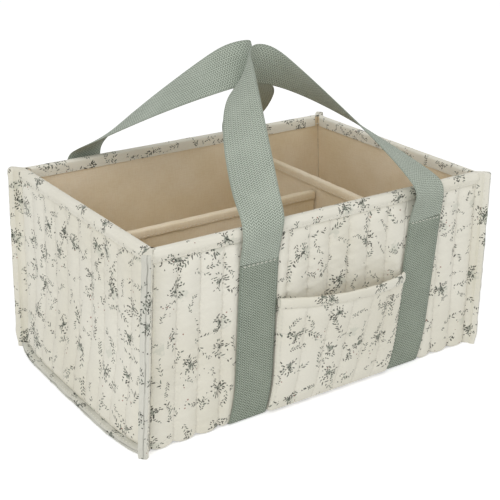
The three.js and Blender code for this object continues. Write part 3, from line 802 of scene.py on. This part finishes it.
# Bound corner: its section carried up the corner, waved and puckered, rounded at the top and drawn in at
# the foot. The tape that binds it has a material of its own.
def cornerFlange(place, signX, signY, seed):
    out, across, isTape = flangeSection()
    high, topRound = body["height"], flange["topRound"]
    z = np.append(np.linspace(0.0, high, flange["steps"]), high - topRound * np.array(flange["topShares"]))
    z = np.sort(z)[:, None]
    wave = waved(z, flange, 0.05, 0.013, seed)
    fold = ripple(z + across, out * 0.5, 0.012, seed + 2) * flange["pucker"]
    free = smooth(-0.001, 0.003, out)
    toTop = np.clip((z - high + topRound) / topRound, 0, 1)
    shrink = 1 - flange["topTaper"] * (1 - np.sqrt(1 - toTop ** 2)) * free
    foot = 1 - flange["footTaper"] * (1 - smooth(0, flange["footRun"], z))
    outward = (out + (wave + fold * 0.7) * free) * np.where(out > 0, shrink * foot, 1.0)
    sideways = (across + np.sign(across) * np.abs(fold) * free) * shrink + wave * 0.5 * free
    x = halfLengthAt(z) + (sideways + outward) * slant
    y = halfWidthAt(z) + (outward - sideways) * slant
    points = together(signX * x, signY * y, z)
    around = aroundSection(out, across)
    # The edge map puts the binding's painted crease shade near the middle of the flange's end.
    maps = {"cloth": together(around + seed * 0.07, z), "edge": together(around - around.max() / 2, z + seed)}
    faces = sweepFaces(*points.shape[:2])
    onTape = np.tile(isTape & np.roll(isTape, -1), len(points) - 1)
    indices = np.append(onTape, np.zeros(len(faces) - len(onTape)))
    piece = addPiece(f"{place}_flange", points, faces, maps, [flatPrint, bindingPrint], "caddy",
                     [f"{place}_corner_binding"], 50, indices)
    rows = []
    for side in (-1, 1):
        z = np.linspace(0.004, high - 0.003, 60)
        aside = side * flange["half"] * 0.98
        x = halfLengthAt(z) + (aside + flange["stitchOut"]) * slant
        y = halfWidthAt(z) + (flange["stitchOut"] - aside) * slant
        outward = np.array([signX * side * slant, -signY * side * slant, 0.0])
        rows.append((together(signX * x, signY * y, z), outward))
    return rows


flangeRows = []
for place, signX, signY, seed in (("front_left", -1, -1, 31), ("front_right", 1, -1, 33),
                                  ("back_right", 1, 1, 35), ("back_left", -1, 1, 37)):
    flangeRows += cornerFlange(place, signX, signY, seed)

bottomSeam = dict(reach=0.0040, height=0.0048, back=0.0078, shelf=0.0012, shelfEnd=0.0024, power=0.7,
                  wave=0.0003, smallWave=0.00014, lift=0.0002, sewn=-0.0010, line=0.0028, stitchHalf=0.108)


# Bound bottom seam of an end wall: a fat rounded edge, out = reach * sin(turn) ^ power, and a flat top that
# runs in under the panel's foot.
def bottomFlange(side):
    wall, seam = walls[side], bottomSeam
    turn = np.linspace(0, math.pi, 21)
    middle = seam["height"] / 2
    low = np.linspace(seam["back"], seam["shelf"], 4)
    rounded = -seam["reach"] * np.maximum(np.sin(turn), 0) ** seam["power"]
    depth = np.concatenate([low, rounded, [seam["shelf"], seam["shelfEnd"], seam["back"]]])[None, :]
    z = np.concatenate([0 * low, middle - middle * np.cos(turn), np.full(3, seam["height"])])[None, :]
    x = np.linspace(-1, 1, 180)[:, None] * mitredHalf(wall, depth, z, "flangeSlot")
    free = np.where((depth < 0.001) & (z > 0.0002), 1.0, 0.0)
    wave = waved(x, seam, 0.04, 0.012, 41) * free
    pushed = bellyAt(wall, x, 0.0) * np.clip(1 - np.maximum(depth, 0) / seam["back"], 0, 1) ** 0.5
    points = wallPoints(wall, x, depth + wave - pushed, z + np.minimum(wave * 0.3, seam["lift"]))
    around = aroundSection(depth, z)
    seamAt = np.interp(0.0, depth[0, ::-1][:16], around[0, ::-1][:16])
    # The edge map puts the binding's painted crease shade near the seam's line.
    cloth, edge = together(x + wall["shift"], around + 0.4), together(around - seamAt - seam["line"], x)
    maps = {"cloth": cloth, "edge": edge}
    node = f"{side}_bottom_binding"
    piece = addSweep(f"{side}_bottom_flange", points, maps, bindingPrint, "caddy", node)
    x = np.linspace(-seam["stitchHalf"], seam["stitchHalf"], 80)
    line = wallPoints(wall, x, seam["sewn"] - bellyAt(wall, x, 0.0), seam["height"] - 0.0001)
    return [(line, np.array([0.0, 0.0, 1.0]))]


for side in ("left", "right"):
    flangeRows += bottomFlange(side)
stitchRows("bound_seam_stitches", flangeRows, paleThread, "caddy")
print("bound seams made")


# A flat band with rounded edges: its section is a long oval, |across|^10 + |through|^2 nearly 1.
def bandSections(middle, widthWay, throughWay):
    across = np.cos(np.linspace(0, math.pi, 17))
    across = np.concatenate([-across, across])
    through = np.repeat([1.0, -1.0], 17) * ((1 - np.abs(across) ** 10) ** 0.5 * 0.85 + 0.15)
    across, through = across * straps["width"] / 2, through * straps["thickness"] / 2
    points = middle[:, None, :] + widthWay[:, None, :] * across[None, :, None]
    return points + throughWay[:, None, :] * through[None, :, None], across[None, :]


# Webbing sewn up a long wall, from under the base to the cross stitches.
def wallStrap(place, side, wallName):
    wall = walls[wallName]
    length = rowLengths(wall, straps["stitch"], straps["upRows"])
    depth, z, wallZ = rowPlace(wall, length, (straps["front"] + straps["back"]) / 2)
    faceDepth, faceZ, _ = rowPlace(wall, length, straps["front"])
    x = strapMiddle(side, wallZ)
    middle = wallPoints(wall, x, depth, z)
    outward = unit(wallPoints(wall, x, faceDepth, faceZ) - middle)
    widthWay = unit(wallPoints(wall, x + 0.01, depth, z) - middle)
    points, across = bandSections(middle, widthWay, outward)
    maps = {"cloth": together(across, alongPath(middle)[:, None])}
    # Painted shade: the sewn straps use the darker copy of the webbing.
    addSweep(f"{place}_webbing", points, maps, sewnWebbingPaintedShade, "caddy", f"{place}_strap")
    edgeRows = []
    for edge in (-1, 1):
        line = wallPoints(wall, x + edge * straps["edgeStitch"], depth, z) + outward * straps["thickness"] / 2
        edgeRows.append((line[17:-2], outward[17:-2]))
    across = np.linspace(-straps["edgeStitch"], straps["edgeStitch"], 30)
    z = straps["crossStitch"] + across * straps["crossSlant"] * (1 if wallName == "front" else -1)
    cross = wallPoints(wall, strapMiddle(side, z) + across, straps["front"], z)
    return edgeRows, [(cross, wallOutward(wall))]


strapEdges, strapCrosses = [], []
for place, side, wallName in (("front_left", -1, "front"), ("front_right", 1, "front"),
                              ("back_right", -1, "back"), ("back_left", 1, "back")):
    edgeRows, crossRows = wallStrap(place, side, wallName)
    strapEdges += edgeRows
    strapCrosses += crossRows
stitchRows("strap_edge_stitches", strapEdges, sageThread, "caddy")
stitchRows("strap_cross_stitches", strapCrosses, paleThread, "caddy")

handle = dict(
    top=0.289, apart=0.0044, rimClear=0.002, lead=0.010, crownLead=0.034, flare=0.1, pathShare=0.999,
    turnPower=1.2, lean=0.011, leanRun=0.02, early=0.15, uprightPower=2.5, overHem=-0.0002, standingSteps=60,
    steps=150, bow=0.0042, bowRun=0.066, even=0.0011, softness=0.008, hinge=0.12726,
)


# A cubic curve through its control points and its heading.
def cubicCurve(t, first, second, third, last):
    curve = (1 - t) ** 3 * first + 3 * (1 - t) ** 2 * t * second + 3 * (1 - t) * t ** 2 * third + t ** 3 * last
    slope = (1 - t) ** 2 * (second - first) + 2 * (1 - t) * t * (third - second) + t ** 2 * (last - third)
    return curve, unit(slope)


# The lower part of a leg, along the wall to just above the rim. The right leg leans in and starts to turn,
# by early, below the rim, with its outer edge kept on the wall.
def standingLeg(side):
    stitchDepth = (straps["front"] + straps["back"]) / 2
    rim = body["height"] + handle["rimClear"]
    over = handle["overHem"] + straps["thickness"] / 2
    lean, early = (handle["lean"], handle["early"]) if side > 0 else (0.0, 0.0)
    z = np.linspace(straps["stitch"] + body["gap"], rim, handle["standingSteps"])
    toHem = np.clip((z - z[0]) / (body["height"] - hem["drop"] - z[0]), 0, 1)
    turn = early * smooth(z[0], rim, z)
    x = lean * smooth(z[0], rim + handle["leanRun"], z) - np.abs(strapMiddle(side, z))
    depth = stitchDepth + (over - stitchDepth) * toHem - straps["width"] / 2 * np.sin(turn)
    return wallPoints(walls["front"], x, depth, z), together(np.cos(turn), -np.sin(turn), 0.0), early


# A leg: above the rim it follows a cubic curve that ends level over the middle, while the webbing's width
# turns about it by a quarter turn * t ^ power.
def legFrames(side):
    standing, standingWidths, early = standingLeg(side)
    alongX, upwards = np.array([1.0, 0, 0]), np.array([0, 0, 1.0])
    start, end = standing[-1], np.array([0.0, -handle["apart"], handle["top"]])
    flare = unit(np.array([0.0, -handle["flare"], 1.0]))
    t = handle["pathShare"] * np.sin(quarterTurn * np.linspace(0, 1, handle["steps"]))[:, None]
    beforeEnd = end - alongX * handle["crownLead"]
    curve, heading = cubicCurve(t, start, start + flare * handle["lead"], beforeEnd, end)
    flatWay = unit(alongX - heading * (heading @ alongX)[:, None])
    sideways = unit(np.cross(alongX, heading))
    edgeOn = squareTo(heading, sideways + (upwards - sideways) * t ** handle["uprightPower"])
    turn = early + (quarterTurn - early) * t ** handle["turnPower"]
    middle = np.concatenate([standing[:-1], curve])
    widths = np.concatenate([standingWidths[:-1], flatWay * np.cos(turn) + edgeOn * np.sin(turn)])
    mirror = np.array([-side, 1, 1])
    return middle * mirror, widths * mirror


# The loop read at even lengths, bowed out from the wall by bow * sin^2 and softened with a bell curve
# whose ends are kept by turning the path about its end points.
def softLoop(middle, widths):
    run = alongPath(middle)
    lengths = np.linspace(0, run[-1], int(run[-1] / handle["even"]) + 1)
    middle, widths = readAt(lengths, run, middle), readAt(lengths, run, widths)
    fromEnd = np.minimum(lengths, run[-1] - lengths)
    middle[:, 1] -= handle["bow"] * puffed(np.clip(fromEnd / handle["bowRun"], 0, 1)) ** 2
    wide = int(3 * handle["softness"] / handle["even"])
    bell = np.exp(-0.5 * (np.arange(-wide, wide + 1) * handle["even"] / handle["softness"]) ** 2)
    bell /= bell.sum()
    soft = []
    for values in (middle, widths):
        before = 2 * values[0] - values[wide:0:-1]
        after = 2 * values[-1] - values[-2:-wide - 2:-1]
        padded = np.concatenate([before, values, after])
        soft.append(np.stack([np.convolve(padded[:, i], bell, "valid") for i in range(3)], -1))
    middle, widths = soft
    heading = unit(np.gradient(middle, axis=0))
    widths = squareTo(heading, widths)
    return middle, widths, np.cross(widths, heading)


def handleLoop(bodyName, turn):
    left, right = legFrames(-1), legFrames(1)
    middle, widths = (np.concatenate([there, back[::-1][1:]]) for there, back in zip(left, right))
    cosine, sine = math.cos(turn), math.sin(turn)
    spin = np.array([[cosine, sine, 0], [-sine, cosine, 0], [0, 0, 1]])
    middle, widths, throughs = (each @ spin for each in softLoop(middle, widths))
    points, across = bandSections(middle, widths, throughs)
    maps = {"cloth": together(across, alongPath(middle)[:, None] + 0.2)}
    # Painted light: the handles use the lighter copy of the webbing.
    piece = addSweep(f"{bodyName}_webbing", points, maps, looseWebbingPaintedLight, None, bodyName)
    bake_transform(piece)


handleLoop("front_handle", 0.0)
handleLoop("back_handle", math.pi)
print("webbing made")


pocket = dict(
    foot=0.003, mouthLeft=0.114, mouthRight=0.104, bulge=0.016, widthPower=0.75, risePower=1.3, loft=0.0022,
    base=0.001, lining=0.0006, sideGap=0.0006, seat=0.0024, channels=6, steps=16, power=2.2, pucker=0.00028,
    tuck=0.0020, tuckShare=0.036, fade=0.012, sideStitch=0.018,
)
mouthHem = dict(drop=0.009, seamDrop=0.009, thickness=0.0009, puff=0.0005, backPuff=0.3, arch=0.0018,
                archPower=1.0, archRows=7, inside=0.0012, legRows=7, wave=0.0002, stitchUp=0.0016)


def mouthAt(share):
    return pocket["mouthLeft"] + (pocket["mouthRight"] - pocket["mouthLeft"]) * share


# Points of a pocket layer between the straps. It stands off the wall by seat, and bulges by bulge * sin of
# its share across ^ widthPower * its share up ^ risePower.
def pocketPoints(share, z, forward):
    left = strapMiddle(-1, z) + straps["width"] / 2 + pocket["sideGap"]
    right = strapMiddle(1, z) - straps["width"] / 2 - pocket["sideGap"]
    x = left + (right - left) * share
    rise = np.clip((z - pocket["foot"]) / (mouthAt(share) - pocket["foot"]), 0, 1)
    bow = np.maximum(puffed(share), 0) ** pocket["widthPower"]
    bulge = pocket["bulge"] * bow * rise ** pocket["risePower"]
    return wallPoints(walls["front"], x, -(pocket["seat"] + bulge + forward), z), x


# Rows of heights from the pocket's foot to under its mouth's hem.
def pocketRows(share, count):
    top = mouthAt(share) - mouthHem["thickness"] - body["gap"]
    return pocket["foot"] + (top - pocket["foot"]) * np.linspace(0, 1, count)[:, None]


# Faces of the pocket's quilted front: channels that rise from its foot and fade under the mouth's hem, and
# sides that turn down to the wall by tuck * (1 - sin of a quarter turn * distance / run).
def pocketFaces(share, z):
    hemEdge = mouthAt(share) - mouthHem["drop"] - body["gap"]
    belowHem = np.clip((hemEdge - z) / pocket["fade"], 0, 1)
    channel = share * pocket["channels"]
    fromSeam = np.abs(2 * (channel - np.floor(channel)) - 1)
    fromFoot = np.clip((z - pocket["foot"]) / pocket["fade"], 0, 1)
    rise = (1 - fromSeam ** pocket["power"]) * np.sin(quarterTurn * np.minimum(fromFoot, belowHem))
    folds = ripple(share * 0.06, z, 0.011, 51) * fromSeam ** 3 * pocket["pucker"]
    fromSide = np.clip(np.minimum(share, 1 - share) / pocket["tuckShare"], 0, 1)
    tuck = pocket["tuck"] * (1 - np.sin(quarterTurn * fromSide)) * np.sin(quarterTurn * belowHem) ** 2
    return pocket["base"] + pocket["loft"] * rise + folds * belowHem - tuck, -tuck


def pocketFront():
    even = np.linspace(0, 1, pocket["channels"] * pocket["steps"] + 1)
    sides = np.linspace(0, pocket["tuckShare"], 8)
    between = even[(even > sides[-1]) & (even < 1 - sides[-1])]
    share = np.unique(np.concatenate([sides, between, 1 - sides]))[None, :]
    z = pocketRows(share, 90)
    outer, inner = pocketFaces(share, z)
    front, x = pocketPoints(share, z, outer)
    back, _ = pocketPoints(share, z, inner)
    maps = {"cloth": together(x + 0.52, z), "quilt": together(share * pocket["channels"], z)}
    piece = addShell("pocket_quilted_front", front, back, maps, quiltedPrint, "pocket_panel")


# The lining ends where the front's sides begin to turn down.
def pocketLiningSheet():
    share = np.linspace(pocket["tuckShare"], 1 - pocket["tuckShare"], 80)[None, :]
    z = pocketRows(share, 70)
    front, x = pocketPoints(share, z, -body["gap"])
    back, _ = pocketPoints(share, z, -body["gap"] - pocket["lining"])
    maps = {"cloth": together(x, z)}
    piece = addShell("pocket_lining_sheet", front, back, maps, liningCotton, "pocket_lining")


# The mouth's hem: a fold of cloth with a soft round edge, carried across the pocket.
def pocketHemFold():
    share = np.linspace(0, 1, 140)[:, None]
    thick = mouthHem["thickness"]
    near, far = -(body["gap"] + pocket["lining"] + body["gap"] + thick), pocket["base"] + body["gap"] + thick
    depth, rise = foldSection(mouthHem, -far, -near, 0.0)
    wave = ripple(share * 0.15, 0 * share, 0.03, 61) * mouthHem["wave"]
    points, x = pocketPoints(share, mouthAt(share) + rise + wave, -depth)
    maps = {"cloth": together(x + 0.77, aroundSection(depth, rise) + 0.31)}
    piece = addSweep("pocket_mouth_fold", points, maps, flatPrint, "caddy", "pocket_hem")
    share = np.linspace(0.02, 0.98, 90)
    line = pocketPoints(share, mouthAt(share) - mouthHem["drop"] + mouthHem["stitchUp"], far)[0]
    rows = [(line, wallOutward(walls["front"]))]
    for edge in (pocket["sideStitch"], 1 - pocket["sideStitch"]):
        z = np.linspace(0.007, mouthAt(edge) - mouthHem["drop"] - 0.002, 50)
        rows.append((pocketPoints(edge, z, pocketFaces(edge, z)[0])[0], wallOutward(walls["front"])))
    stitchRows("pocket_stitches", rows, paleThread, "caddy")


pocketFront()
pocketLiningSheet()
pocketHemFold()
print("pocket made")


lining = dict(front=0.0070, back=0.0078, rows=60, cols=120, sag=0.0006, footRun=0.012, longFlat=0.361,
              endFlat=0.233)


# A wall's lining: flat cloth with soft waves, which fade out at its sides and foot.
def wallLining(side):
    wall = walls[side]
    z = np.linspace(body["foot"], body["top"], lining["rows"])[:, None]
    share = np.linspace(-1, 1, lining["cols"])[None, :]
    edge = smooth(1.0, 0.9, np.abs(share)) * smooth(body["foot"], body["foot"] + lining["footRun"], z)
    loose = ripple(share * 0.15, z, 0.06, 71) * 0.5 + ripple(share * 0.15 + z, z * 0.3, 0.035, 72) * 0.25
    give = (0.5 + 0.5 * loose) * lining["sag"] * edge
    x = share * mitredHalf(wall, lining["back"], z, "mitreSlot")
    back = wallPoints(wall, x, lining["back"] + give, z)
    front = wallPoints(wall, x, lining["front"], z)
    maps = {"cloth": together(x + wall["shift"], z)}
    piece = addShell(f"{side}_wall_lining", back, front, maps, liningCotton, f"{side}_lining")


for side in walls:
    wallLining(side)


basePlates = {
    "base_lining": dict(foot=0.0072, top=0.0080, soft=0.0002, material=liningCotton, seed=81),
    "base_cover": dict(foot=0.0, top=0.0016, soft=0.0, material=baseCloth, seed=82),
}


# A flat cloth plate of the base between two heights, its top waved by soft.
def basePlate(node):
    plate = basePlates[node]
    halfX = halfLengthAt(plate["foot"]) - 0.0081
    halfY = halfWidthAt(plate["foot"]) - 0.0086
    x = np.linspace(-halfX, halfX, 120)[None, :]
    y = np.linspace(-halfY, halfY, 80)[:, None]
    edge = smooth(1.0, 0.96, np.abs(x) / halfX) * smooth(1.0, 0.96, np.abs(y) / halfY)
    give = (0.5 + 0.5 * ripple(x, y, 0.07, plate["seed"])) * plate["soft"] * edge
    upper, lower = together(x, y, plate["top"] + give), together(x, y, plate["foot"])
    maps = {"cloth": together(x, y)}
    piece = addShell(f"{node}_sheet", upper, lower, maps, plate["material"], node)


for node in basePlates:
    basePlate(node)
print("linings made")


divider = dict(
    cross=0.082, crossTop=0.162, longTop=0.150, boardHalf=0.001, cover=0.0014, coverFoot=0.0015, rows=30,
    bulge=0.0006, wave=0.00025, end=0.0099, foot=0.0083, lift=0.030, junction=0.002, crossHalf=0.0027,
    clothHalf=0.12,
)
tape = dict(drop=0.008, seamDrop=0.008, thickness=0.0009, puff=0.0003, backPuff=1.0, arch=0.002, archPower=0.8,
            archRows=7, inside=0.0011, legRows=7, wave=0.0002, stitchUp=0.0014)


# A divider's padded cover: a section that wraps its foot and bulges slightly on both sides, carried along its
# length.
def dividerCover(name, top, endPoint, bodyName, seed):
    inner, foot = divider["boardHalf"] + body["gap"], divider["coverFoot"]
    half, low = inner + divider["cover"], divider["foot"] + foot
    z = np.linspace(top - tape["thickness"] - body["gap"], low, divider["rows"])
    side = half + puffed((z - z[-1]) / (z[0] - z[-1])) * divider["bulge"] - divider["bulge"]
    turn = np.linspace(0, math.pi, 9)[1:-1]
    innerSides = [-inner + 0 * z, -inner * np.cos(turn), inner + 0 * z]
    across = closedSection([-side, -half * np.cos(turn), side[::-1]], innerSides)
    innerZ = np.maximum(z, low + 0.0001)
    innerHeights = [innerZ, innerZ[-1] + 0 * turn, innerZ[::-1]]
    heights = closedSection([z, low - foot * np.sin(turn), z[::-1]], innerHeights)
    along = np.linspace(-1, 1, 90)[:, None] * divider["clothHalf"]
    wave = ripple(along, heights, 0.05, seed) * divider["wave"] * onOutside(across) * np.sign(across)
    points = endPoint(along / divider["clothHalf"], across + wave, heights)
    maps = {"cloth": together(along, aroundSection(across, heights))}
    piece = addSweep(f"{name}_soft_cover", points, maps, liningCotton, bodyName, f"{name}_cover", 60)


# The tape bound over a divider's top edge, with a row of stitches on each side.
def dividerTape(name, top, endPoint, bodyName, seed):
    half = divider["boardHalf"] + body["gap"] + divider["cover"] + body["gap"] + tape["thickness"]
    across, heights = foldSection(tape, -half, half, top)
    along = np.linspace(-1, 1, 90)[:, None] * divider["clothHalf"]
    wave = ripple(along, 0 * along, 0.03, seed) * tape["wave"] * onOutside(across)
    points = endPoint(along / divider["clothHalf"], across, heights + wave)
    maps = {"cloth": together(along, aroundSection(across, heights) + 0.3)}
    node = f"{name}_top_binding"
    piece = addSweep(f"{name}_edge_tape", points, maps, liningCotton, bodyName, node)
    along, low = np.linspace(-0.97, 0.97, 100), top - tape["drop"]
    rows = []
    for side in (-1, 1):
        line = endPoint(along, side * (half + 0.0001), low + tape["stitchUp"])
        outward = unit(endPoint(0.0, side, low) - endPoint(0.0, 0.0, low))
        rows.append((line, outward))
    stitchRows(f"{name}_tape_stitches", rows, liningThread, bodyName)


# Places along each divider, from -1 to 1, across it and up.
def crossPoint(along, across, z):
    return together(divider["cross"] + across, along * (halfWidthAt(z) - divider["end"]), z)


def longPoint(along, across, z):
    room = body["endLean"] * divider["lift"] / body["height"]
    left = divider["end"] + room - halfLengthAt(z)
    right = divider["cross"] - divider["crossHalf"] - divider["junction"]
    return together(left + (right - left) * (along + 1) / 2, across, z)


for name, bodyName, top, endPoint, seed in (
        ("cross_divider", "divider", divider["crossTop"], crossPoint, 91),
        ("long_divider", "long_divider", divider["longTop"], longPoint, 95)):
    dividerCover(name, top, endPoint, bodyName, seed)
    dividerTape(name, top, endPoint, bodyName, seed + 1)
print("dividers made")

# Solids that still show are the boards and the fastener strips.
for name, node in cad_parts.items():
    if not node.hide_render:
        node.data.materials.clear()
        node.data.materials.append(loopTape if name.endswith("strip") else boardFoam)


studio = dict(floor=0.90, dim=0.84, world=0.62, glow=0.42, key=13.0, fill=5.0, half=15, low=-0.0003)


def areaLight(name, place, target, size, power):
    lamp = bpy.data.lights.new(name, "AREA")
    lamp.size, lamp.energy = size, power
    holder = bpy.data.objects.new(name, lamp)
    holder.location = place
    holder.rotation_mode = "QUATERNION"
    holder.rotation_quaternion = (Vector(target) - Vector(place)).to_track_quat("-Z", "Y")
    bpy.context.scene.collection.objects.link(holder)


# A pale floor that keeps its shadows and shows white to the camera.
def studioFloor():
    graph = Graph("studioFloor")
    point = graph.node("ShaderNodeTexCoord", None, None, "Object")
    tone = graph.blend(graph.noise(point, 3.0) * 0.05, (studio["floor"],) * 3, (studio["dim"],) * 3)
    isSeen = graph.node("ShaderNodeLightPath", None, None, "Is Camera Ray")
    graph.feed(graph.shader.inputs["Emission Color"], graph.blend(isSeen, (0.0, 0.0, 0.0), (1.0, 1.0, 1.0)))
    graph.shader.inputs["Emission Strength"].default_value = studio["glow"]
    half, low = studio["half"], studio["low"]
    corners = [(-half, -half, low), (half, -half, low), (half, half, low), (-half, half, low)]
    mesh = bpy.data.meshes.new("studio_floor")
    mesh.from_pydata(corners, [], [(0, 1, 2, 3)])
    mesh.materials.append(graph.finish(tone, 0.95))
    floor = bpy.data.objects.new("studio_floor", mesh)
    bpy.context.scene.collection.objects.link(floor)


# The world lights at its own strength, and shows white to the camera and in reflections.
def studioSky():
    world = bpy.data.worlds.new("studioWorld")
    bpy.context.scene.world = world
    graph = Graph("studioSky", world)
    background = graph.tree.nodes["Background"]
    background.inputs["Color"].default_value = (1, 1, 1, 1)
    seen = cameraRay = graph.node("ShaderNodeLightPath", None, None, "Is Camera Ray")
    for ray in ("Is Glossy Ray", "Is Transmission Ray"):
        seen = graph.maths("MAXIMUM", seen, graph.also(cameraRay, ray))
    graph.feed(background.inputs["Strength"], seen * (1 - studio["world"]) + studio["world"])


studioFloor()
areaLight("keyLight", (-1.3, -0.9, 1.5), (0, 0, 0.1), 1.3, studio["key"])
areaLight("fillLight", (1.2, -1.5, 1.0), (0, 0, 0.1), 1.6, studio["fill"])
studioSky()

view = dict(lens=78.85, azimuth=-34.658, elevation=22.259, roll=0.468, eye=(-0.5656, -0.8202, 0.5101))
azimuth, elevation, roll = (math.radians(view[key]) for key in ("azimuth", "elevation", "roll"))
level = math.cos(elevation)
backWay = Vector((math.sin(azimuth) * level, -math.cos(azimuth) * level, math.sin(elevation)))
rightWay = (-backWay).cross(Vector((0, 0, 1))).normalized()
upWay = rightWay.cross(-backWay)
tiltRight = rightWay * math.cos(roll) + upWay * math.sin(roll)
tiltUp = upWay * math.cos(roll) - rightWay * math.sin(roll)
camera = bpy.data.objects.new("camera", bpy.data.cameras.new("camera"))
camera.data.lens, camera.data.sensor_width = view["lens"], 36.0
camera.data.clip_start, camera.data.clip_end = 0.01, 100.0
facing = Matrix((tiltRight, tiltUp, backWay)).transposed().to_4x4()
camera.matrix_world = Matrix.Translation(view["eye"]) @ facing
bpy.context.scene.collection.objects.link(camera)
bpy.context.scene.camera = camera
bpy.context.scene.view_settings.view_transform = "Standard"
print("stage, lights and camera made")
